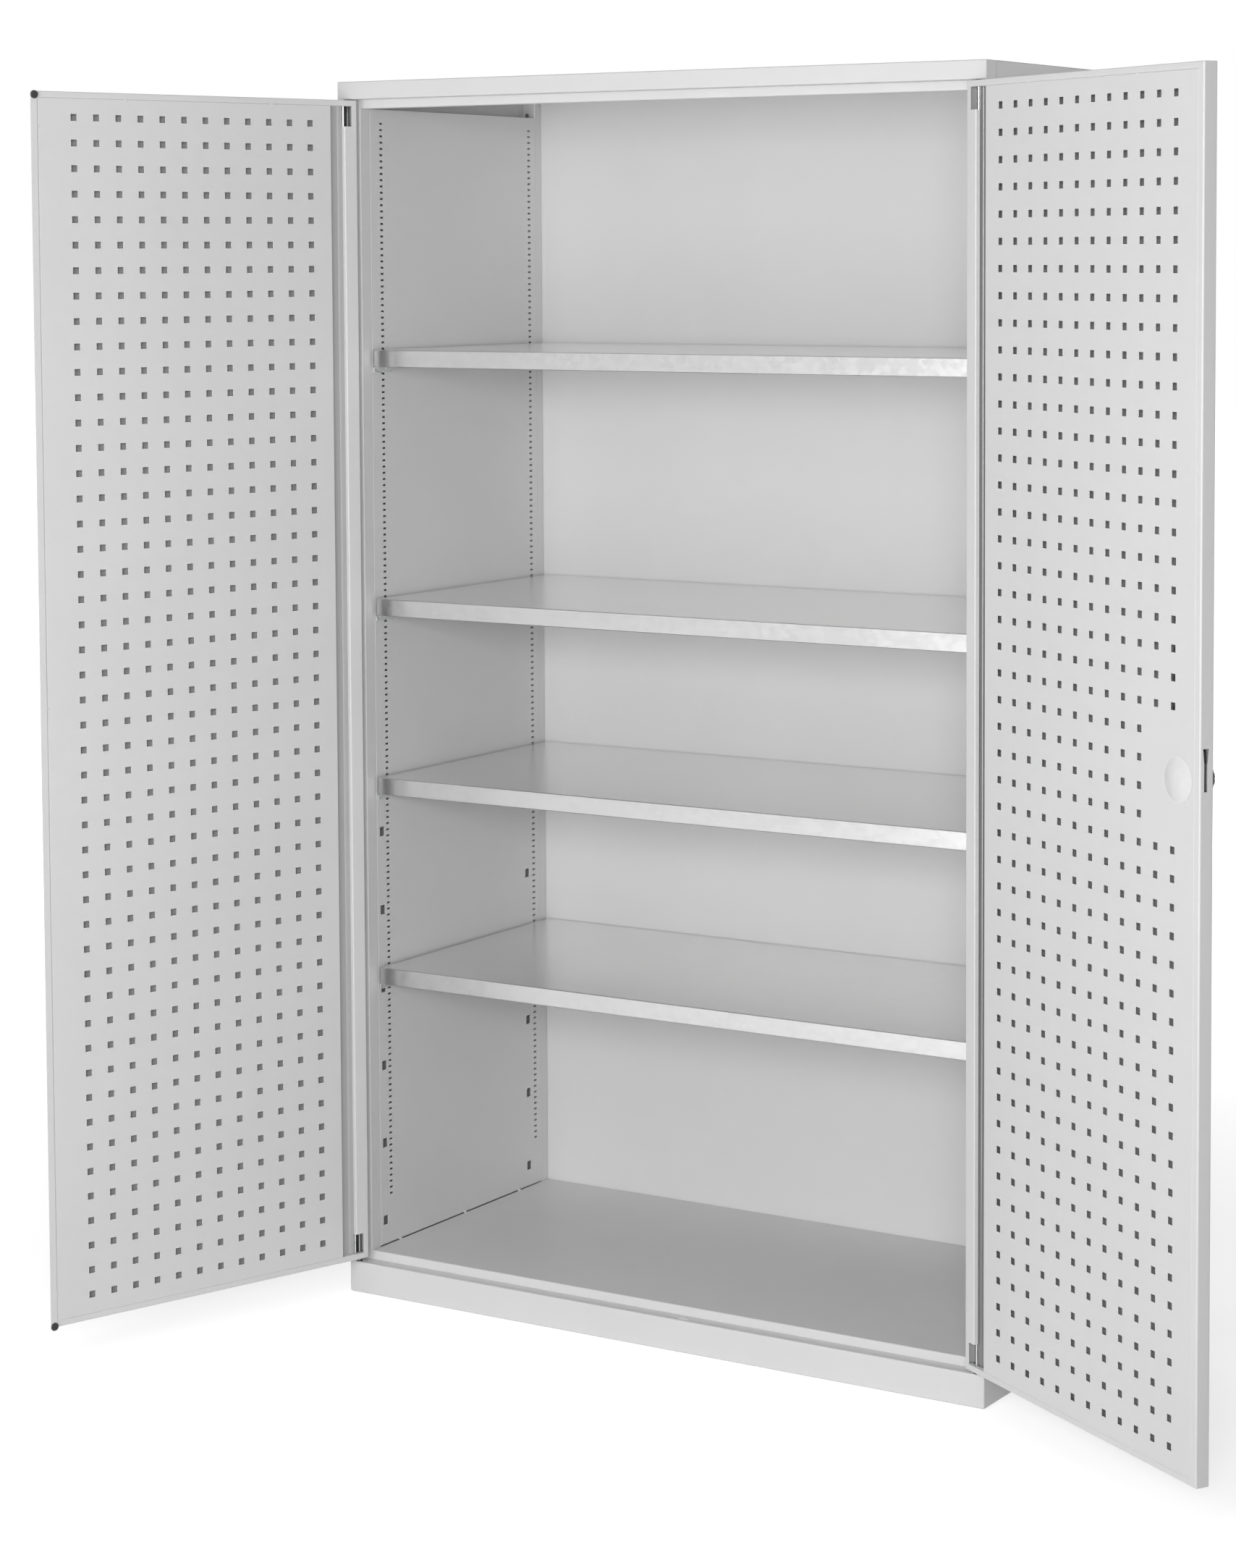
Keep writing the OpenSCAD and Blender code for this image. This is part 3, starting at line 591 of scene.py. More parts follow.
def lattice(add: Sequence[Box], cut: Sequence[Box]) -> Shell:
    """One clean closed mesh of quads from a union of boxes with boxes taken away.

    Args:
        add: boxes of material, as lowest and highest corner.
        cut: boxes taken away.

    Returns:
        The shell, with its faces split along every box's planes.
    """
    lines = [
        np.unique(np.round([c[k] for b in (*add, *cut) for c in b], 4)) for k in range(3)
    ]
    solid = np.zeros([len(line) - 1 for line in lines], bool)
    for boxes, value in ((add, True), (cut, False)):
        for low, high in boxes:
            span = [
                slice(
                    int(np.searchsorted(lines[k], round(low[k], 4) - 1e-5)),
                    int(np.searchsorted(lines[k], round(high[k], 4) - 1e-5)),
                )
                for k in range(3)
            ]
            solid[tuple(span)] = value
    padded = np.pad(solid, 1)
    numbers: dict[tuple[int, int, int], int] = {}
    points: list = []
    faces: list[tuple[int, ...]] = []

    def number(at: tuple[int, int, int]) -> int:
        """Number of the point where three planes cross."""
        if at not in numbers:
            numbers[at] = len(points)
            points.append(tuple(float(lines[k][at[k]]) for k in range(3)))
        return numbers[at]

    for k in range(3):
        p, q = (k + 1) % 3, (k + 2) % 3
        for side in (-1, 1):
            open_side = solid & ~np.roll(padded, -side, axis=k)[1:-1, 1:-1, 1:-1]
            for cell in np.argwhere(open_side):
                corner = list(cell)
                corner[k] += side > 0
                square = []
                for dp, dq in ((0, 0), (1, 0), (1, 1), (0, 1))[:: side]:
                    at = list(corner)
                    at[p] += dp
                    at[q] += dq
                    square.append(number(tuple(int(a) for a in at)))
                faces.append(tuple(square))
    return Shell(points, faces)


def bent(
    path: Sequence[Point2],
    thick: float,
    radii: Sequence[float],
    axis: Axis,
    low: float,
    high: float,
) -> Shell:
    """A sheet folded along a path and extruded.

    Args:
        path: the corners of the path through the middle of its thickness.
        thick: sheet thickness.
        radii: outside bend radius at each inner corner of the path.
        axis: the direction of extrusion.
        low: start of the extrusion.
        high: its end.

    Returns:
        The closed shell.
    """
    return prism(folded(path, thick, radii), axis, low, high)


def to_mesh(shell: Shell, name: str) -> bpy.types.Mesh:
    """Makes a Blender mesh from a shell, with its normals outwards."""
    mesh = bpy.data.meshes.new(name)
    mesh.from_pydata(shell.points, [], shell.faces)
    bm = bmesh.new()
    bm.from_mesh(mesh)
    bmesh.ops.remove_doubles(bm, verts=bm.verts, dist=1e-6)
    bmesh.ops.recalc_face_normals(bm, faces=bm.faces)
    bm.to_mesh(mesh)
    bm.free()
    return mesh


def in_scene(name: str, data: bpy.types.ID) -> bpy.types.Object:
    """Makes an object and puts it in the scene."""
    obj = bpy.data.objects.new(name, data)
    bpy.context.scene.collection.objects.link(obj)
    return obj


def carved(shell: Shell, cutters: Sequence[Shell]) -> Shell:
    """Cuts shells out of a shell.

    Args:
        shell: what is cut.
        cutters: closed shells that are taken away.

    Returns:
        The cut shell.
    """
    made = [in_scene("cutting", to_mesh(part, "cutting")) for part in (shell, joined(cutters))]
    cut = made[0].modifiers.new("cut", "BOOLEAN")
    cut.operation = "DIFFERENCE"
    cut.solver = "EXACT"
    cut.object = made[1]
    cut.use_self = True
    graph = bpy.context.evaluated_depsgraph_get()
    result = bpy.data.meshes.new_from_object(made[0].evaluated_get(graph))
    points = [tuple(v.co) for v in result.vertices]
    out = Shell(points, [tuple(p.vertices) for p in result.polygons])
    for obj in made:
        mesh = obj.data
        bpy.data.objects.remove(obj)
        bpy.data.meshes.remove(mesh)
    bpy.data.meshes.remove(result)
    return out


# Pieces


SHARP = math.radians(50)
QUARTER = [math.radians(22.5 * k) for k in range(5)]


def case_frame() -> Matrix:
    """Case coordinates in millimetres to the row frame in metres."""
    return Matrix.Scale(MM, 4) @ Matrix.Translation((0, -CASE_D / 2, 0))


def door_frame(hand: Hand) -> Matrix:
    """Door coordinates of one door to the row frame, as the door stands open."""
    x = CASE_W / 2 - 14.5
    if hand is Hand.LEFT:
        place = Matrix.Translation((-x, 6, 0)) @ Matrix.Rotation(math.radians(-109), 4, "Z")
    else:
        place = (
            Matrix.Translation((x, 6, 0))
            @ Matrix.Scale(-1, 4, (1, 0, 0))
            @ Matrix.Rotation(math.radians(-149.4), 4, "Z")
        )
    return case_frame() @ place


@dataclass
class Piece:
    """One visible piece: its shells, its place, its finish, and the CAD nodes it stands for.

    Every sharp edge is rounded by edge, after those that fold_test picks are rounded by fold.
    """

    name: str
    frame: Matrix
    body: str
    finish: Finish
    nodes: tuple[str, ...] = ()
    edge: float = 0.25
    fold: float = 0.0
    fold_test: EdgeTest | None = None
    shells: list[Shell] = field(default_factory=list)

    def add(self, *shells: Shell) -> "Piece":
        """Adds shells to the piece and returns it."""
        self.shells += shells
        return self

    def make(self) -> None:
        """Builds the object, rounds its edges, dresses it and puts it on its body."""
        mesh = to_mesh(joined(self.shells), self.name)
        bm = bmesh.new()
        bm.from_mesh(mesh)
        if self.fold_test:
            self._round(bm, self.fold, 3, self.fold_test)
        if self.edge:
            self._round(bm, self.edge, 2, None)
        bmesh.ops.transform(bm, matrix=self.frame, verts=bm.verts)
        bmesh.ops.recalc_face_normals(bm, faces=bm.faces)
        bm.to_mesh(mesh)
        bm.free()
        mesh.polygons.foreach_set("use_smooth", [True] * len(mesh.polygons))
        mesh.set_sharp_from_angle(angle=SHARP)
        obj = in_scene(self.name, mesh)
        obj.modifiers.new("flat faces", "WEIGHTED_NORMAL").keep_sharp = True
        mesh.materials.append(self.finish.material())
        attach(obj, self.body)
        if self.nodes:
            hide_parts(*self.nodes)
        log.info("%s: %d faces", self.name, len(mesh.polygons))

    @staticmethod
    def _round(bm: bmesh.types.BMesh, width: float, segments: int, test: EdgeTest | None) -> None:
        """Rounds sharp edges.

        Args:
            bm: the mesh.
            width: how far the rounding reaches from the edge.
            segments: number of faces across it.
            test: picks the edges by their two ends, or None for all.
        """
        bm.normal_update()
        edges = [
            e
            for e in bm.edges
            if len(e.link_faces) == 2
            and e.calc_face_angle(0) > SHARP
            and (test is None or test(e.verts[0].co, e.verts[1].co))
        ]
        bmesh.ops.bevel(
            bm,
            geom=edges,
            offset=width,
            offset_type="OFFSET",
            segments=segments,
            profile=0.5,
            affect="EDGES",
            clamp_overlap=True,
        )


def dressed(node: str, finish: Finish, edge: float = 0.25) -> None:
    """Keeps a CAD node, rounds its edges with modifiers and gives it a finish.

    Args:
        node: the CAD node's name.
        finish: its finish.
        edge: rounding of its edges in millimetres.
    """
    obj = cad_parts[node]
    obj.data.materials.clear()
    obj.data.materials.append(finish.material())
    obj.modifiers.new("weld", "WELD").merge_threshold = 1e-5
    bevel = obj.modifiers.new("edges", "BEVEL")
    bevel.width = edge * MM
    bevel.segments = 2
    bevel.limit_method = "ANGLE"
    bevel.angle_limit = math.radians(40)
    log.info("%s: kept from the frame", node)


def weld_mark(at: Sequence[float], normal: Sequence[float], radius: float) -> Shell:
    """A flat blob of paint over a spot weld.

    Args:
        at: its centre.
        normal: the direction it stands out in.
        radius: its radius.

    Returns:
        A shallow lens.
    """
    rise, sunk = 0.45, -0.3
    profile = [(0, sunk), (radius, sunk), (radius, 0.05), (radius * 0.8, rise * 0.6)]
    profile += [(radius * 0.4, rise), (0, rise)]
    tilt = Vector((0, 0, 1)).rotation_difference(Vector(normal)).to_matrix().to_4x4()
    return turned(profile, 20).moved(Matrix.Translation(Vector(at)) @ tilt)


@dataclass
class Case:
    """Plinth, header, roof, walls, posts and linings of the cabinet's case."""

    plinth_h: float = 50.0
    foot_return: float = 20.0
    top_return: Point2 = (30.0, 45.0)
    header_z: float = 1922.0
    header_return: float = 31.0
    frame_t: float = 1.5
    sheet_t: float = 1.0
    bend_r: float = 2.4
    edge_return: float = 20.0
    stop_y: float = 25.5
    stop_h: float = 14.0
    back_y: float = 536.5
    half_clear: float = 550.0
    post_end_y: float = 51.0
    post_hook: float = 14.0
    post_return: float = 12.0
    rear_post_y: float = 517.5
    post_hole_x: float = 566.0
    post_hole_z: float = 1913.0
    post_hole_r: float = 3.5
    lining_top: float = 1908.5
    slot_top: float = 1886.0
    slot_pitch: float = 10.0
    slot_size: Point2 = (8.0, 3.0)
    slot_count: int = 175
    slot_ys: Point2 = (79.5, 498.3)
    windows: tuple[Point2, Point2] = ((63.8, 104.5), (478.0, 100.5))
    window_size: Point2 = (11.4, 14.7)
    window_pitch: float = 128.0
    window_count: int = 6
    side_front_y: float = 20.0
    side_gap: float = 2.0
    seam: float = 1.2
    weld_ys: tuple[float, ...] = (100.3, 283.4, 443.4)
    weld_x: float = 547.8
    weld_rise: float = 1.8
    weld_r: float = 4.2
    rod_in: float = 53.5
    rod_y: float = 10.6
    rod_slot_half: float = 6.0
    rod_slot_r: float = 4.0
    hinge_x: float = 560.5
    hinge_y: float = 6.0
    bush_r: float = 4.3
    floor_nodes: tuple[str, ...] = ("floor_panel", "floor_lip", "floor_flanges")
    frame: Matrix = field(default_factory=case_frame)

    def piece(
        self, name: str, *nodes: str, finish: Finish = LIGHT_GREY_PAINT, **more: float
    ) -> Piece:
        """A piece of the case, painted unless told otherwise."""
        return Piece(name, self.frame, "cabinet", finish, nodes, **more)

    def holes(self, low: float, high: float) -> list[Shell]:
        """Cutters for the rod slot and the two bush holes, from one height to another."""
        half, radius = self.rod_slot_half, self.rod_slot_r
        slot = [
            p
            for side, first in ((1, -90), (-1, 90))
            for p in arc((self.rod_in + side * half, self.rod_y), radius, first, 180, 8)
        ]
        bushes = [
            arc((side * self.hinge_x, self.hinge_y), self.bush_r, 0, 360, 32, False)
            for side in (-1, 1)
        ]
        return [prism(outline, Axis.Z, low, high) for outline in (slot, *bushes)]

    def plinth(self) -> None:
        """The ring under the case, bent in at its top and foot."""
        half, t, h, r, foot = CASE_W / 2, self.frame_t, self.plinth_h, self.bend_r, self.foot_return
        rows = [(foot, foot, 0.0), (r, r, 0.0)]
        rows += [(r - r * math.sin(a),) * 2 + (r - r * math.cos(a),) for a in QUARTER[1:]]
        rows += [(r - r * math.cos(a),) * 2 + (h - r + r * math.sin(a),) for a in QUARTER]
        rows += [(*self.top_return, h), (*self.top_return, h - t)]
        rows += [(r, r, h - t), (t, t, h - r), (t, t, r), (r, r, t), (foot, foot, t)]
        loops = [
            mitred_loop(-half + s, half - s, f, CASE_D - s, z, max(r - s, 0.4)) for s, f, z in rows
        ]
        ring = carved(stacked(loops, True), self.holes(h - t - 1, h + 1))
        self.piece("plinth", "plinth_frame").add(ring).make()

    def header(self) -> None:
        """The front band above the doors with its end returns and the stop lip."""
        t, z0, z1, half = self.frame_t, self.header_z, CASE_H, CASE_W / 2
        m = t / 2
        path = [(self.header_return, z1 - m), (m, z1 - m), (m, z0 + m), (self.stop_y, z0 + m)]
        band = bent(path, t, [2.2, 2.2], Axis.X, -half + t, half - t)
        low = z0 - self.stop_h + m
        path = [(self.stop_y + m, z0), (self.stop_y + m, low), (self.stop_y + self.stop_h, low)]
        lip = bent(path, t, [self.bend_r], Axis.X, -self.half_clear, self.half_clear)
        ends = [
            lattice([((x, 0.1, z0 + 0.1), (x + t, self.header_return, z1 - 0.1))], [])
            for x in (-half, half - t)
        ]
        body = carved(band, self.holes(z0 - 1, z0 + t + 1))
        self.piece("header", "header_rail").add(body, lip, *ends).make()

    def roof(self) -> None:
        """The roof sheet, lapped under the header and turned down at the rear."""
        t, half = self.sheet_t, CASE_W / 2
        z, rear = CASE_H - t / 2, CASE_D - t / 2
        path = [(self.header_return + 0.4, z), (rear, z), (rear, CASE_H - self.edge_return)]
        sheet = bent(path, t, [self.bend_r], Axis.X, -half + 0.05, half - 0.05)
        self.piece("roof", "roof_panel").add(sheet).make()

    def side_panels(self) -> None:
        """The two outer side panels with their rear returns."""
        t, half = self.sheet_t, CASE_W / 2
        rear = CASE_D - t / 2
        for side, name in ((-1, "side_panel_left"), (1, "side_panel_right")):
            x = side * (half - t / 2)
            path = [(x, self.side_front_y), (x, rear), (side * (half - self.edge_return), rear)]
            low, high = self.plinth_h + 0.25, CASE_H - t - 0.1
            notch = block(
                (side * half - 3, 0, self.header_z - 0.4),
                (side * half + 3, self.header_return + self.side_gap, CASE_H + 5),
            )
            back = block((-half - 5, CASE_D - 3, CASE_H - 20.4), (half + 5, CASE_D + 5, CASE_H))
            sheet = carved(bent(path, t, [self.bend_r], Axis.Z, low, high), [notch, back])
            self.piece(name + "_sheet", name).add(sheet).make()

    def back(self) -> None:
        """The recessed back wall with its flanges turned to the rear."""
        t, half = self.sheet_t, CASE_W / 2 - self.sheet_t
        z0, z1, rear = self.plinth_h + 0.2, CASE_H - t - 0.2, CASE_D - t
        bend, front = 2.2, self.back_y
        rows = [(bend, front), (0.65, front + 0.65), (0.0, front + bend), (0.0, rear)]
        rows += [(t, rear), (t, front + bend), (bend, front + t)]
        loops = [
            [(x, y, z) for x, z, _ in mitred_loop(-half + s, half - s, z0 + s, z1 - s, 0, 1.2)]
            for s, y in rows
        ]
        self.piece("back_wall", "back_panel").add(stacked(loops, False)).make()

    def floor(self) -> None:
        """The floor pan with its rounded front lip and its weld marks."""
        t, top = self.sheet_t, self.plinth_h + self.stop_h
        x, bend = self.half_clear - 0.2, 2.6
        rows = [(bend - bend * math.sin(a), top - bend + bend * math.cos(a)) for a in QUARTER]
        rows += [(0.0, self.plinth_h), (t, self.plinth_h), (t, top - bend), (bend, top - t)]
        loops = [
            mitred_loop(-x + s, x - s, self.stop_y + s, self.back_y - s, z, max(1.6 - s, 0.5))
            for s, z in rows
        ]
        work = self.piece("floor_pan", *self.floor_nodes).add(stacked(loops, False))
        for side in (-1, 1):
            for y in self.weld_ys:
                at = (side * self.weld_x, y, top + self.weld_rise)
                work.add(weld_mark(at, (-side * 0.7, 0, 0.7), self.weld_r))
        work.make()

    def post(
        self, side: int, start: float, end: float, hook: float, radii: list[float]
    ) -> list[Point2]:
        """The outline of a post, folded round a corner.

        Args:
            side: -1 for left, 1 for right.
            start: y of the sheet's face between the side panel and the lining.
            end: y of its other end.
            hook: how far its flange on the side panel runs on from start.
            radii: its bend radii.

        Returns:
            The closed outline.
        """
        t, clear = self.sheet_t, self.half_clear
        m = t / 2
        skin, inner = side * (CASE_W / 2 - t - m), side * (clear + m)
        path = [(skin, start + hook), (skin, start + m), (inner, start + m), (inner, end - m)]
        return folded([*path, (side * (clear + self.post_return), end - m)], t, radii)

    def posts(self) -> None:
        """The four posts, folded round the front and rear corners."""
        for side, hand in ((-1, "left"), (1, "right")):
            front = self.post(side, self.stop_y, self.post_end_y, self.post_hook, [2, 2.4, 1.6])
            body = prism(front, Axis.Z, self.plinth_h, self.header_z)
            self.piece(f"front_post_{hand}_sheet", f"front_post_{hand}").add(body).make()
            rear = self.post(side, self.rear_post_y, self.back_y, -self.post_hook, [2, 2, 1.6])
            at = (side * self.post_hole_x, self.rear_post_y, self.post_hole_z)
            hole = drill(self.post_hole_r, -3, 3).moved(tipped(at, 90))
            body = carved(prism(rear, Axis.Z, self.plinth_h, CASE_H - 3), [hole])
            self.piece(f"rear_post_{hand}_sheet", f"rear_post_{hand}").add(body).make()

    def linings(self) -> None:
        """The two side linings with their slot columns and windows."""
        t, z0, z1 = self.sheet_t, self.plinth_h + self.stop_h + self.seam, self.lining_top
        x0, x1 = self.half_clear - 0.25, self.half_clear + t - 0.25
        y0, y1 = self.post_end_y, self.rear_post_y
        openings = [
            (y, self.slot_top - self.slot_pitch * k, *self.slot_size)
            for y in self.slot_ys
            for k in range(self.slot_count)
        ]
        openings += [
            (y, first + self.window_pitch * k, *self.window_size)
            for y, first in self.windows
            for k in range(self.window_count)
        ]
        cut: list[Box] = [
            ((x0 - 1, y - w / 2, z - h / 2), (x1 + 1, y + w / 2, z + h / 2))
            for y, z, w, h in openings
        ]
        far = x1 + self.post_return
        add: list[Box] = [
            ((x0, y0, z0), (x1, y1, z1)),
            ((x0, y0, z0), (far, y0 + t, z1)),
            ((x0, y1 - t, z0), (far, y1, z1)),
        ]
        sheet = lattice(add, cut)

        def on_bend(a: Vector, b: Vector) -> bool:
            """True on the two upright bends next to the posts."""
            inside = near(abs(a.x), x0) and near(abs(b.x), x0)
            return inside and near(a.y, b.y) and near(a.y, y0, y1)

        for side, hand in ((-1, "left"), (1, "right")):
            self.piece(
                f"side_lining_{hand}_sheet", f"side_lining_{hand}", edge=0.15, fold=0.35,
                fold_test=on_bend,
            ).add(sheet.moved(Matrix.Scale(side, 4, (1, 0, 0)))).make()

    def bushes(self) -> None:
        """The four flanged nylon bushes that the hinge pins turn in."""
        r, foot = self.bush_r, -8.5
        profile = [(0, 1), (3.1, 1), (4.6, 1), (5.0, 0.85), (5.2, 0.5), (5.2, 0), (r, 0)]
        profile += [(r, foot), (0, foot)]
        work = self.piece("bushes", "hinge_bushes", finish=NYLON, edge=0)
        for side in (-1, 1):
            for z, flip in ((self.plinth_h, 1), (self.header_z, -1)):
                place = Matrix.Translation((side * self.hinge_x, self.hinge_y, z))
                work.add(turned(profile, 32).moved(place @ Matrix.Scale(flip, 4, (0, 0, 1))))
        work.make()

    def build(self) -> None:
        """Builds every piece of the case."""
        self.plinth()
        self.header()
        self.roof()
        self.side_panels()
        self.back()
        self.floor()
        self.posts()
        self.linings()
        self.bushes()


@dataclass
class Shelves:
    """The four galvanised shelf trays on their clips."""

    tops: tuple[float, ...] = (1525.0, 1125.0, 835.0, 525.0)
    half_w: float = 545.0
    front_y: float = 48.0
    rear_y: float = 535.0
    edge_h: float = 28.0
    sheet_t: float = 1.0
    hem: float = 10.0
    bend_r: float = 2.0
    rib_in: float = 150.0
    rib_h: float = 20.0

    def shelf(self, number: int, top: float) -> None:
        """One shelf: a tray with hemmed front and rear edges and two ribs under it."""
        t, r, hem, low, half = self.sheet_t, self.bend_r, self.hem, top - self.edge_h, self.half_w
        rows = [(r - r * math.sin(a),) * 2 + (top - r + r * math.cos(a),) for a in QUARTER]
        rows += [(0, r - r * math.cos(a), low + r - r * math.sin(a)) for a in QUARTER]
        rows += [(t, hem, low), (t, hem, low + t), (t, r, low + t), (t, t, low + r)]
        rows += [(t, t, top - r), (r, r, top - t)]
        y0, y1 = self.front_y, self.rear_y
        loops = [
            mitred_loop(-half + s, half - s, y0 + f, y1 - f, z, max(1.6 - s, 0.4))
            for s, f, z in rows
        ]
        work = Piece(
            f"shelf_{number}_tray", case_frame(), "cabinet", GALVANISED, (f"shelf_{number}",), 0.2
        ).add(stacked(loops, False))
        for y in (y0 + self.rib_in, y1 - self.rib_in):
            work.add(block((-half + t, y, top - self.rib_h), (half - t, y + t, top - t)))
        work.make()

    def build(self) -> None:
        """Builds the shelves and dresses the clips."""
        for number, top in enumerate(self.tops, 1):
            self.shelf(number, top)
            dressed(f"shelf_clips_{number}", ZINC, 0.3)


@dataclass
class Door:
    """One door: tray, tool panel, hinge pins and, on the left, the stop strip."""

    hand: Hand
    body: str
    side_rim: float
    hinge_u: float = -7.5
    free_u: float = 559.0
    v0: float = -6.0
    v1: float = 16.0
    z0: float = 57.5
    z1: float = 1920.5
    sheet_t: float = 1.0
    flange_u: float = 16.5
    channel_v: float = 8.0
    channel_end: float = 52.0
    panel_u: float = 42.0
    rim: float = 9.5
    cutout: Point2 = (2.5, 32.0)
    stay_r: float = 1.5
    pin_hole_r: float = 4.2
    hole_first: float = 80.5
    hole_top: float = 1882.5
    pitch: float = 38.0
    hole: float = 10.0
    columns: int = 12
    rows: int = 48
    lock_u: float = 511.0
    lock_z: float = 989.5
    lock_clear: float = 60.0
    cap_hole_r: float = 26.0
    latch_v: Point2 = (1.6, 11.0)
    rim_weld_us: Point2 = (150.0, 410.0)
    strip_w: float = 11.5
    strip_end_r: float = 6.5
    strip_weld_zs: Point3 = (110.0, 1000.0, 1868.0)

    @property
    def frame(self) -> Matrix:
        """Door coordinates to the row frame."""
        return door_frame(self.hand)

    @property
    def latch_span(self) -> Point2:
        """Lowest and highest z of the latch's opening in the free edge."""
        low, high = (3.5, 46.5) if self.hand is Hand.LEFT else (-11, 45.5)
        return (self.lock_z + low, self.lock_z + high)

    def piece(
        self, name: str, *nodes: str, finish: Finish = LIGHT_GREY_PAINT, **more: float
    ) -> Piece:
        """A piece of this door, painted unless told otherwise."""
        return Piece(f"{self.hand.value}_{name}", self.frame, self.body, finish, nodes, **more)

    def upside_down(self, shell: Shell) -> Shell:
        """The same at the door's other end."""
        mirror = Matrix.Translation((0, 0, self.z0 + self.z1)) @ Matrix.Scale(-1, 4, (0, 0, 1))
        return shell.moved(mirror)

    def mitre(self, above: bool) -> list[Shell]:
        """Cutters that mitre the rims where they meet at the lower corners of the inner face.

        Args:
            above: True gives the cutters for the upright rims, False those for the end rim.

        Returns:
            The cutters.
        """
        gap, inset = 0.12, 0.8
        u0, z0, z1 = self.hinge_u, self.z0, self.z0 + self.rim
        sign = -1 if above else 1
        rims = [(u0, self.cutout[0], u0 - 2, self.flange_u + 1)]
        if self.side_rim:
            inner = self.free_u - self.side_rim
            rims.append((self.free_u, inner, self.free_u + 2, inner - 1))
        made = []
        for outer, inner, beyond, past in rims:
            slope = abs(self.rim / (inner - outer))
            start = (
                outer + (inset if outer < inner else -inset), z0 + inset * slope - sign * gap
            )
            end = (inner, z1 - sign * gap)
            if above:
                outline = [start, end, (past, z1 + gap), (past, z0 - 2), (start[0], z0 - 2)]
            else:
                outline = [start, end, (inner, z1 + 4), (beyond, z1 + 4), (beyond, start[1])]
            made.append(prism(outline, Axis.Y, self.v1 - 1.05, self.v1 + 1))
        return made

    def wrap(self) -> Shell:
        """The upright folds of the tray: hinge channel and flange, outer skin and free edge."""
        t, h = self.sheet_t, self.sheet_t / 2
        skin, inner, hinge, free = self.v0 + h, self.v1 - h, self.hinge_u + h, self.free_u - h
        flange, channel = self.flange_u - h, self.channel_v - h
        path = [(self.channel_end, channel), (flange, channel), (flange, inner), (hinge, inner)]
        path += [(hinge, skin), (free, skin)]
        radii = [1.6, 1.8, 2.0, 2.0, 2.6]
        if self.side_rim:
            path += [(free, inner), (self.free_u - self.side_rim, inner)]
            radii.append(2.6)
        else:
            path.append((free, self.v1))
        cutters = []
        for z in (self.z0 + self.rim, self.z1 - self.rim - self.cutout[1]):
            low = (self.cutout[0], self.channel_v, z)
            cutters.append(block(low, (self.flange_u + 1, self.v1 + 1, z + self.cutout[1])))
        for corner in self.mitre(True):
            cutters += [corner, self.upside_down(corner)]
        low, high = self.latch_span
        near_v, far_v = self.latch_v
        if self.hand is Hand.RIGHT:
            z = self.lock_z + 23.5
            slot = [(3.6, low), (9, low), (9, z), (far_v, high), (near_v, high), (3.6, z)]
            cutters.append(prism(slot, Axis.X, self.free_u - 2, self.free_u + 1))
        else:
            cutters.append(
                block((self.free_u - 2, near_v, low), (self.free_u + 1, far_v, high))
            )
        return carved(bent(path, t, radii, Axis.Z, self.z0, self.z1), cutters)

    def end_fold(self) -> Shell:
        """The lower end of the tray, folded in over the end of the tool panel."""
        t, h = self.sheet_t, self.sheet_t / 2
        foot, inner, rim = self.z0 + h, self.v1 - h, self.z0 + self.rim - h
        path = [(self.v0 + t, foot), (inner, foot), (inner, rim), (self.channel_v, rim)]
        end = bent(path, t, [1.8, 1.2], Axis.X, self.hinge_u + t, self.free_u - t)
        holes = [drill(self.pin_hole_r, 50, 60)]
        if self.hand is Hand.RIGHT:
            holes.append(block((499, 2.4, 50), (515, 6.8, 60)))
        return carved(end, [*holes, *self.mitre(False)])

    def tray(self) -> None:
        """The folded outer tray with its hinge flange, channel, edges and end rims."""
        end = self.end_fold()
        work = self.piece("door_shell", f"{self.hand.value}_door_tray", edge=0.2)
        work.add(self.wrap(), end, self.upside_down(end))
        for u in self.rim_weld_us:
            for z in (self.z0 + self.rim, self.z1 - self.rim):
                work.add(weld_mark((u, self.v1 + 0.05, z), (0, 1, 0), 2.2))
        work.make()

    def bracket_stays(self) -> None:
        """The round stay beside each pin bracket, along the flange's cutout."""
        centre = (self.flange_u - 1.7, self.channel_v + 1.9)
        outline = arc(centre, self.stay_r, 0, 360, 24, False)
        work = self.piece("bracket_stays", finish=ZINC, edge=0)
        for z in (self.z0 + self.rim + 0.1, self.z1 - self.rim - self.cutout[1] - 0.1):
            work.add(prism(outline, Axis.Z, z, z + self.cutout[1]))
        work.make()

    def channel_strip(self) -> None:
        """The stiffener strip on the floor of the hinge channel, with one rolled edge.

        Its finish is painted shade: the right door's strip is drawn in dark bare steel and the left
        door's in a darker grey paint, both standing in for the shade in the hinge channel.
        """
        u, v, far = self.flange_u + 0.2, self.channel_v, self.panel_u - 0.2
        outline = [(u, v - 0.2), (u, v + 1.2), (u + 0.4, v + 1.5), (u + 4.4, v + 1.5)]
        for k in range(1, 6):
            a = math.radians(18 * k)
            outline.append((u + 4.4 + 4.6 * math.sin(a), v + 0.3 + 1.2 * math.cos(a)))
        outline += [(far, v + 0.3), (far, v - 0.2)]
        # Painted shade: each door's strip gets a darker finish that stands in for the shade in its
        # channel.
        finish = CHANNEL_SHADE_PAINT if self.hand is Hand.LEFT else CHANNEL_SHADE_STEEL
        strip = prism(outline, Axis.Z, self.z0 + self.rim + 0.3, self.z1 - self.rim - 0.3)
        self.piece("channel_strip", finish=finish, edge=0).add(strip).make()

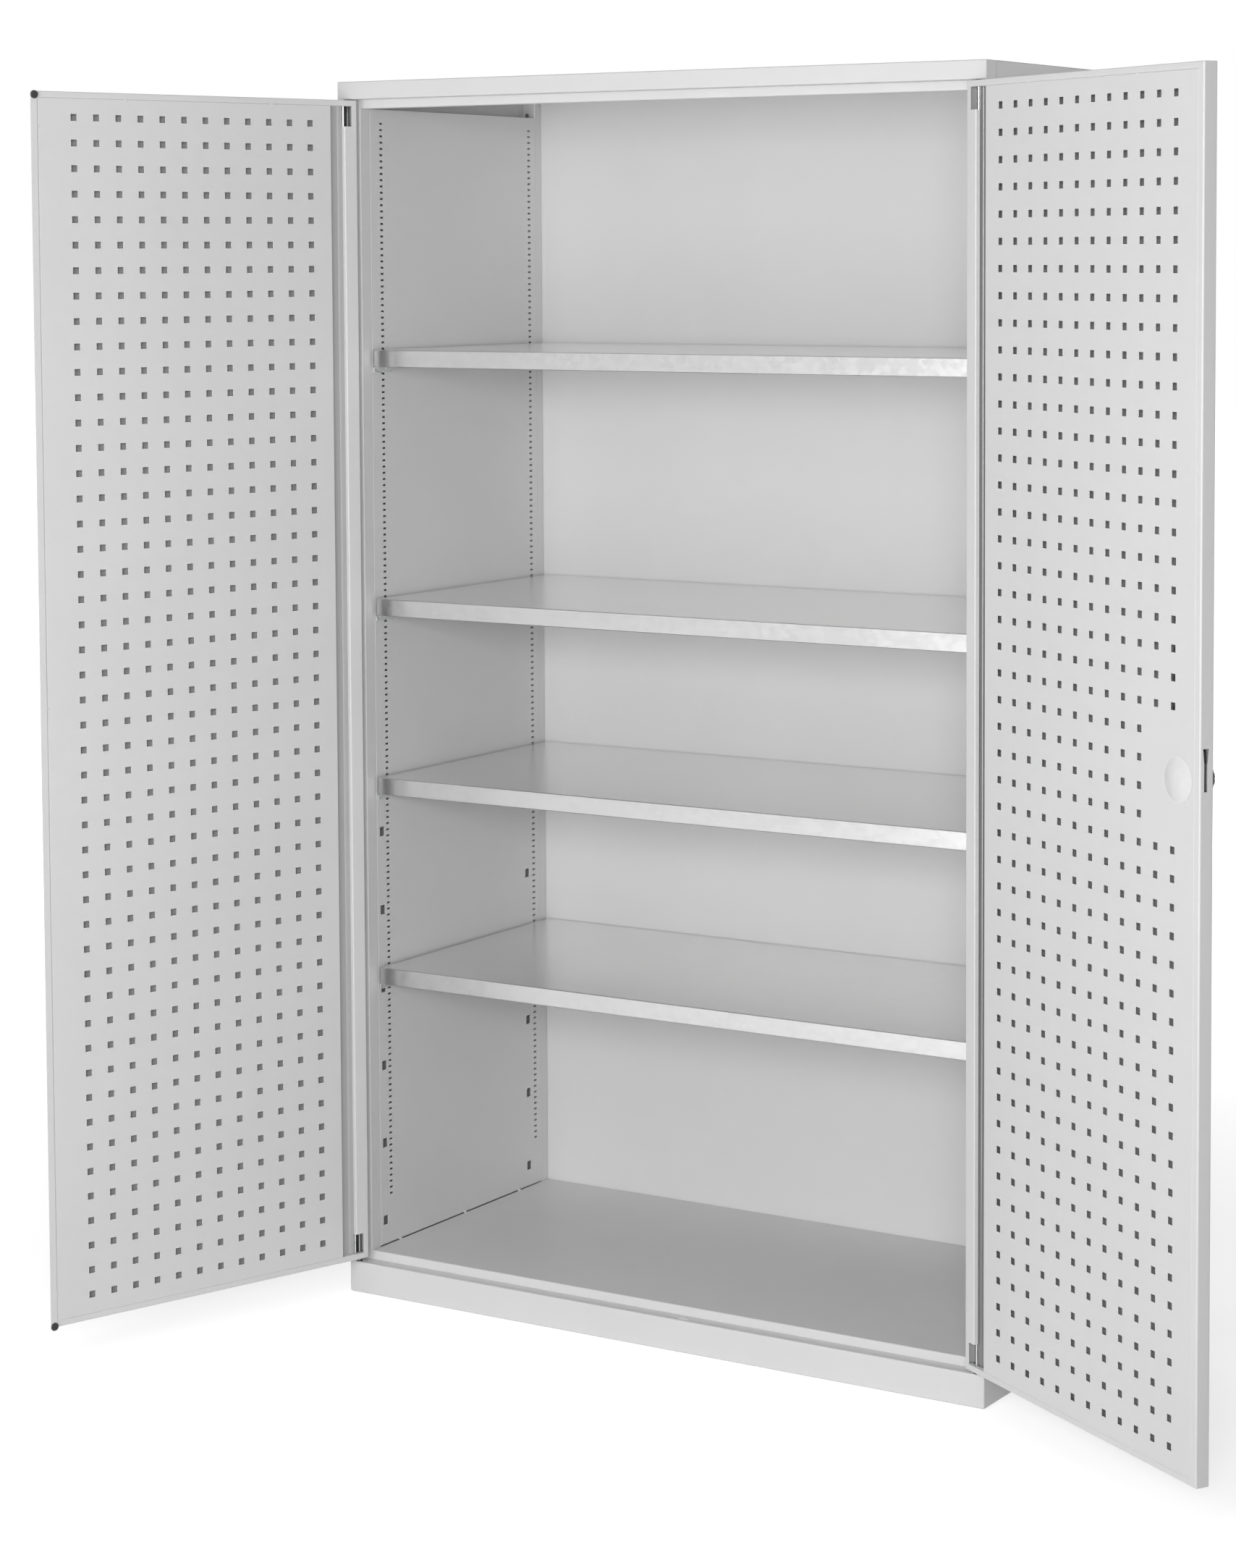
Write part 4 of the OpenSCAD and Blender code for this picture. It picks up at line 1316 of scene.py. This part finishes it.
    def tool_panel(self) -> None:
        """The perforated inner sheet with its four returns."""
        t, z0, z1 = self.sheet_t, self.z0 + self.rim, self.z1 - self.rim
        u0, u1 = self.panel_u, self.free_u - (self.side_rim or t)
        v, c, s = self.v1, self.channel_v, self.hole / 2
        locked = self.hand is Hand.RIGHT
        cut: list[Box] = []
        for column in range(self.columns):
            u = self.hole_first + column * self.pitch
            for row in range(self.rows):
                z = self.hole_top - row * self.pitch
                beside = u > self.lock_u - self.lock_clear
                if locked and beside and abs(z - self.lock_z) < self.lock_clear:
                    continue
                cut.append(((u - s, v - t - 1, z - s), (u + s, v + 1, z + s)))
        low, high = self.latch_span
        cut.append(((u1 - t - 1, c - 1, low), (u1 + 1, self.latch_v[1], high)))
        add: list[Box] = [
            ((u0, v - t, z0), (u1, v, z1)),
            ((u0, c, z0), (u0 + t, v, z1)),
            ((u1 - t, c, z0), (u1, v, z1)),
            ((u0, c, z0), (u1, v, z0 + t)),
            ((u0, c, z1 - t), (u1, v, z1)),
        ]
        shell = lattice(add, cut)
        if locked:
            hole = drill(self.cap_hole_r, v - 2, v + 2, 64)
            shell = carved(shell, [hole.moved(tipped((self.lock_u, 0, self.lock_z), -90))])

        def on_bend(a: Vector, b: Vector) -> bool:
            """True on the four bends round the inner face."""
            upright = near(a.x, b.x) and near(a.x, u0, u1)
            level = near(a.z, b.z) and near(a.z, z0, z1)
            return near(a.y, v) and near(b.y, v) and (upright or level)

        self.piece(
            "tool_sheet", f"{self.hand.value}_tool_panel", edge=0.25, fold=0.8, fold_test=on_bend
        ).add(shell).make()

    def stop_strip(self) -> None:
        """The stop strip on the free edge, with rounded ends, weld marks and rubber buffers."""
        t, u, v, radius = self.sheet_t, self.free_u, self.v1 + 0.3, self.strip_end_r
        half_w = self.strip_w / 2
        mid, ends = u + half_w, (self.z0 + 2, self.z1 - 5.5)
        path = [(u + t / 2, v + t - 14), (u + t / 2, v + t / 2), (u + self.strip_w, v + t / 2)]
        strip = bent(path, t, [1.5], Axis.Z, ends[0] - radius, ends[1] + radius)
        span = math.degrees(math.asin(half_w / radius))
        low, high = self.latch_span
        cutters = [block((u - 1, v - 14, low), (u + t + 1, self.latch_v[1], high))]
        for z, way in ((ends[0], -1), (ends[1], 1)):
            tip = arc((mid, z), radius, way * (90 + span), -way * 2 * span, 12)
            far = z + way * 12
            outline = [(u - 2, tip[0][1]), *tip, (u + 14, tip[-1][1]), (u + 14, far), (u - 2, far)]
            cutters.append(prism(outline, Axis.Y, v - 20, v + 5))
            low, high = min(z, far), max(z, far)
            cutters.append(block((u - 1, v - 20, low), (u + t + 0.5, v - 0.6, high)))
        work = self.piece("stop_strip_sheet", "left_stop_strip", edge=0.2)
        work.add(carved(strip, cutters))
        for z in self.strip_weld_zs:
            work.add(weld_mark((u - 1.2, self.v1 + 0.1, z), (0, 1, 0), 2.6))
        work.make()
        profile = [(0, 0), (6, 0), (6, 1.2), (5.85, 1.6), (5.4, 1.95), (4.6, 2.1), (0, 2.1)]
        rubber = self.piece("rubber_buffers", "left_door_buffers", finish=RUBBER, edge=0)
        for z in ends:
            rubber.add(turned(profile, 40).moved(tipped((mid, v + t, z), -90)))
        rubber.make()

    def build(self) -> None:
        """Builds the door."""
        self.tray()
        self.bracket_stays()
        self.channel_strip()
        self.tool_panel()
        if self.hand is Hand.LEFT:
            self.stop_strip()
        # Painted shade: the pins and brackets get a darkened zinc that stands in for the shade in
        # the hinge cutouts.
        dressed(f"{self.hand.value}_hinge_pins", SHADE_DARK_ZINC, 0.4)
        dressed(f"{self.hand.value}_pin_brackets", SHADE_DARK_ZINC, 0.3)


@dataclass
class RodLock:
    """The rod lock: cap inside the door, knob outside, and the working parts between."""

    lock_u: float = 511.0
    lock_z: float = 989.5
    inner_v: float = 16.0
    outer_v: float = -6.0
    cap_r: float = 32.0
    cap_rise: float = 5.0
    skirt_r: float = 25.9
    rosette_r: float = 28.0
    rosette_t: float = 3.0
    knob_r: float = 20.0
    knob_h: float = 21.7
    flutes: int = 12
    key_r: float = 9.0
    key_h: float = 15.2
    key_depth: float = 14.0
    kept: tuple[str, ...] = (
        "lock_case", "rod_guides", "handle_spindle", "crank_plate", "upper_rod", "lower_rod",
    )

    def inside(self, shell: Shell) -> Shell:
        """Puts a turned shape on the lock axis, standing on the door's inner face."""
        return shell.moved(tipped((self.lock_u, self.inner_v, self.lock_z), -90))

    def outside(self, shell: Shell, height: float = 0.0) -> Shell:
        """Puts a turned shape on the lock axis, at a height over the door's outer face."""
        return shell.moved(tipped((self.lock_u, self.outer_v - height, self.lock_z), 90))

    @staticmethod
    def piece(name: str, body: str, finish: Finish, node: str, edge: float = 0) -> Piece:
        """A piece of the lock that stands for one CAD node."""
        return Piece(name, door_frame(Hand.RIGHT), body, finish, (node,), edge)

    def cap(self) -> None:
        """The shallow domed cap over the hole in the tool panel."""
        r, rise, steps = self.cap_r, self.cap_rise, 24
        ball = (r * r + rise * rise) / (2 * rise)
        profile = [(0.0, 0.02), (r - 0.6, 0.02), (r - 0.1, 0.15), (r, 0.45), (r - 0.15, 0.75)]
        for k in range(1, steps + 1):
            x = (r - 0.5) * (1 - k / steps)
            profile.append((x, math.sqrt(ball * ball - x * x) - ball + rise))
        dome, skirt = turned(profile, 96), drill(self.skirt_r, -3, 0.2, 64)
        work = self.piece("cover_cap", "right_door", CAP_ABS, "lock_cover_cap")
        work.add(self.inside(dome), self.inside(skirt)).make()

    def rosette(self) -> None:
        """The round plate behind the knob, with a rounded rim."""
        r, t = self.rosette_r, self.rosette_t
        profile = [(0, 0), (r, 0), (r, t - 1.4), (r - 0.3, t - 0.7), (r - 0.9, t - 0.2)]
        plate = turned([*profile, (r - 1.8, t), (0, t)], 72)
        work = self.piece("rosette", "right_door", HANDLE_PA, "handle_rosette")
        work.add(self.outside(plate)).make()

    def knob(self) -> None:
        """The fluted knob with a recess for the key cylinder."""
        count = self.flutes * 16

        def ring(scale: float, depth: float, height: float) -> list[Point3]:
            """One loop of the knob: its size, flute depth and height."""
            loop = []
            for k in range(count):
                a = math.tau * k / count
                wave = max(0.0, math.cos(a * self.flutes)) ** 1.5
                radius = self.knob_r * scale - depth * wave
                loop.append((radius * math.cos(a), radius * math.sin(a), height))
            return loop

        h, inner = self.knob_h, (self.key_r + 0.25) / self.knob_r
        loops = [ring(0.97, 0, 0), ring(1.0, 0, 0.6), ring(1.0, 0, 5.4), ring(0.985, 0.6, 6.2)]
        loops += [ring(1.0, 2.2, 7.4), ring(0.995, 2.2, h - 4.2), ring(0.97, 2.0, h - 2.0)]
        loops += [ring(0.915, 1.2, h - 0.7), ring(0.85, 0.3, h - 0.1), ring(0.78, 0, h)]
        loops += [ring(0.56, 0, h), ring(inner + 0.04, 0, h - 0.15), ring(inner, 0, h - 0.6)]
        loops += [ring(inner, 0, h - 12)]
        work = self.piece("knob", "handle", HANDLE_PA, "rotary_handle")
        work.add(self.outside(stacked(loops, False), self.rosette_t)).make()

    def cylinder(self) -> None:
        """The key cylinder with its keyway."""
        r, h = self.key_r, self.key_h
        profile = [(0, 0), (r, 0), (r, h - 0.9), (r - 0.3, h - 0.35), (r - 0.9, h)]
        profile += [(r - 2.6, h), (r - 2.9, h - 0.35), (0, h - 0.35)]
        key = carved(turned(profile, 64), [block((-1, -5, h - 6), (1, 5, h + 1))])
        work = self.piece("lock_barrel", "key_cylinder", NICKEL, "key_cylinder", 0.15)
        work.add(self.outside(key, self.rosette_t + self.knob_h - self.key_depth)).make()

    def build(self) -> None:
        """Builds the lock."""
        self.cap()
        self.rosette()
        self.knob()
        self.cylinder()
        for node in self.kept:
            dressed(node, ZINC)
        # Painted shade: the latch gets a near-black zinc that stands in for the shade inside its
        # slot.
        dressed("side_latch", SHADE_DARK_LATCH_ZINC)


def shown(tree: bpy.types.NodeTree, lighting: Socket, looks: Socket) -> Socket:
    """Mixes two shaders by who sees them.

    Args:
        tree: the node tree.
        lighting: the shader that lights the scene.
        looks: the shader that the camera and mirrors see.

    Returns:
        The mixed shader.
    """
    rays = add_node(tree, "LightPath").outputs
    seen = rays["Is Camera Ray"]
    for ray in ("Is Transmission Ray", "Is Glossy Ray"):
        links = {0: seen, 1: rays[ray]}
        seen = add_node(tree, "Math", {"operation": "MAXIMUM"}, links).outputs[0]
    return add_node(tree, "MixShader", None, {0: seen, 1: lighting, 2: looks}).outputs[0]


@dataclass(frozen=True)
class Softbox:
    """A square softbox: its place and aim and its side length in metres, and its watts."""

    name: str
    at: Point3
    aim: Point3
    size: float
    power: float

    def hang(self) -> None:
        """Puts the softbox in the scene."""
        data = bpy.data.lights.new(self.name, "AREA")
        data.size = self.size
        data.energy = self.power
        obj = in_scene(self.name, data)
        obj.location = self.at
        way = Vector(self.aim) - Vector(self.at)
        obj.rotation_euler = way.to_track_quat("-Z", "Y").to_euler()


@dataclass
class Studio:
    """Floor, backdrop, lamps and the camera at the photograph's viewing angle."""

    image: tuple[int, int] = (1708, 2166)
    focal_px: float = 4810.39
    centre_px: Point2 = (1000.0, 680.0)
    place: Point3 = (2820.06, -4707.9, 1676.55)
    yaw: float = 0.5441
    pitch: float = 0.0684
    roll: float = -0.0034
    sensor: float = 36.0
    world_light: float = 0.12
    floor_half: float = 30.0
    floor_drop: float = 0.0005
    glow_reach: Point2 = (0.9, 4.5)
    glow: Point2 = (0.58, 1.0)
    lamps: tuple[Softbox, ...] = (
        Softbox("low_softbox", (0.2, -3.6, 0.95), (-0.1, 0, 0.95), 2.0, 43),
        Softbox("high_softbox", (0.2, -3.6, 2.4), (0, 0, 1), 2.0, 21),
        Softbox("camera_softbox", (3.0, -5.3, 1.9), (0, 0, 1), 1.2, 118),
        Softbox("top_softbox", (0.3, -1.6, 4.2), (0, 0, 1), 2.5, 11),
        Softbox("side_softbox", (2.9, 3.6, 1.6), (0.3, 0, 1), 2.0, 20),
        Softbox("back_softbox", (-2.6, 4.2, 1.8), (0, 0.3, 1), 2.0, 80),
    )

    def camera(self) -> None:
        """Makes the camera."""
        data = bpy.data.cameras.new("camera")
        cam = in_scene("camera", data)
        longest = max(self.image)
        data.sensor_width = self.sensor
        data.lens = self.focal_px / longest * self.sensor
        data.shift_x = (self.image[0] / 2 - self.centre_px[0]) / longest
        data.shift_y = (self.centre_px[1] - self.image[1] / 2) / longest
        data.clip_start, data.clip_end = 0.1, 100
        cy, sy = math.cos(self.yaw), math.sin(self.yaw)
        cp, sp = math.cos(self.pitch), math.sin(self.pitch)
        right, ahead = Vector((cy, sy, 0)), Vector((-sy * cp, cy * cp, -sp))
        up = right.cross(ahead)
        cr, sr = math.cos(self.roll), math.sin(self.roll)
        right, up = cr * right + sr * up, cr * up - sr * right
        rows = zip(right, up, -ahead, self.place)
        cam.matrix_world = Matrix([(r, u, a, p * MM) for r, u, a, p in rows] + [(0, 0, 0, 1)])
        bpy.context.scene.camera = cam

    def surroundings(self) -> None:
        """White surroundings that light the cabinet only a little."""
        world = bpy.data.worlds.new("studio")
        bpy.context.scene.world = world
        world.use_nodes = True
        tree = world.node_tree
        tree.nodes.clear()
        light, white = (
            add_node(tree, "Background", {"Color": linear("#FFFFFF"), "Strength": s}).outputs[0]
            for s in (self.world_light, 1.0)
        )
        add_node(tree, "OutputWorld", None, {"Surface": shown(tree, light, white)})

    def floor(self) -> None:
        """A pale floor that keeps the cabinet's shadow and fades to white far from it."""
        mesh = bpy.data.meshes.new("studio_floor")
        far = self.floor_half
        square = [(-far, -far, 0), (far, -far, 0), (far, far, 0), (-far, far, 0)]
        mesh.from_pydata(square, [], [(0, 1, 2, 3)])
        floor = in_scene("studio_floor", mesh)
        floor.location.z = -self.floor_drop
        mat = bpy.data.materials.new("pale_floor")
        mat.use_nodes = True
        tree = mat.node_tree
        tree.nodes.clear()
        matt = add_node(tree, "BsdfDiffuse", {"Color": linear("#E6E6E6")}).outputs[0]
        place = add_node(tree, "TexCoord").outputs["Object"]
        reach = add_node(tree, "VectorMath", {"operation": "LENGTH"}, {0: place}).outputs["Value"]
        limits = {1: self.glow_reach[0], 2: self.glow_reach[1], 3: self.glow[0], 4: self.glow[1]}
        spill = add_node(tree, "MapRange", limits, {0: reach}).outputs[0]
        white = {"Color": linear("#FFFFFF")}
        glow = add_node(tree, "Emission", white, {"Strength": spill}).outputs[0]
        lit = add_node(tree, "AddShader", None, {0: matt, 1: glow}).outputs[0]
        add_node(tree, "OutputMaterial", None, {"Surface": shown(tree, matt, lit)})
        mesh.materials.append(mat)

    def build(self) -> None:
        """Sets up the studio."""
        self.camera()
        self.surroundings()
        self.floor()
        for lamp in self.lamps:
            lamp.hang()
        bpy.context.scene.view_settings.view_transform = "Standard"


def main() -> None:
    """Builds the studio and the cabinet in order."""
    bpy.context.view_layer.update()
    Studio().build()
    log.info("studio ready")
    Case().build()
    Shelves().build()
    Door(Hand.LEFT, "left_door", 0.0).build()
    Door(Hand.RIGHT, "right_door", 12.0).build()
    RodLock().build()


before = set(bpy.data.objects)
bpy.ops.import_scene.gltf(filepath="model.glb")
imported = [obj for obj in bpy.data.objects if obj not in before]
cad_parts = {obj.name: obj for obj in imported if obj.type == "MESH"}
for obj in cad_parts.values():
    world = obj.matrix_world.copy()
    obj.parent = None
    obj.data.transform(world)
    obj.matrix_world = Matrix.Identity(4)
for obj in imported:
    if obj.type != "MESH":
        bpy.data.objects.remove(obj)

if __name__ == "__main__":
    logging.basicConfig(level=logging.INFO, format="%(name)s: %(message)s")
    main()
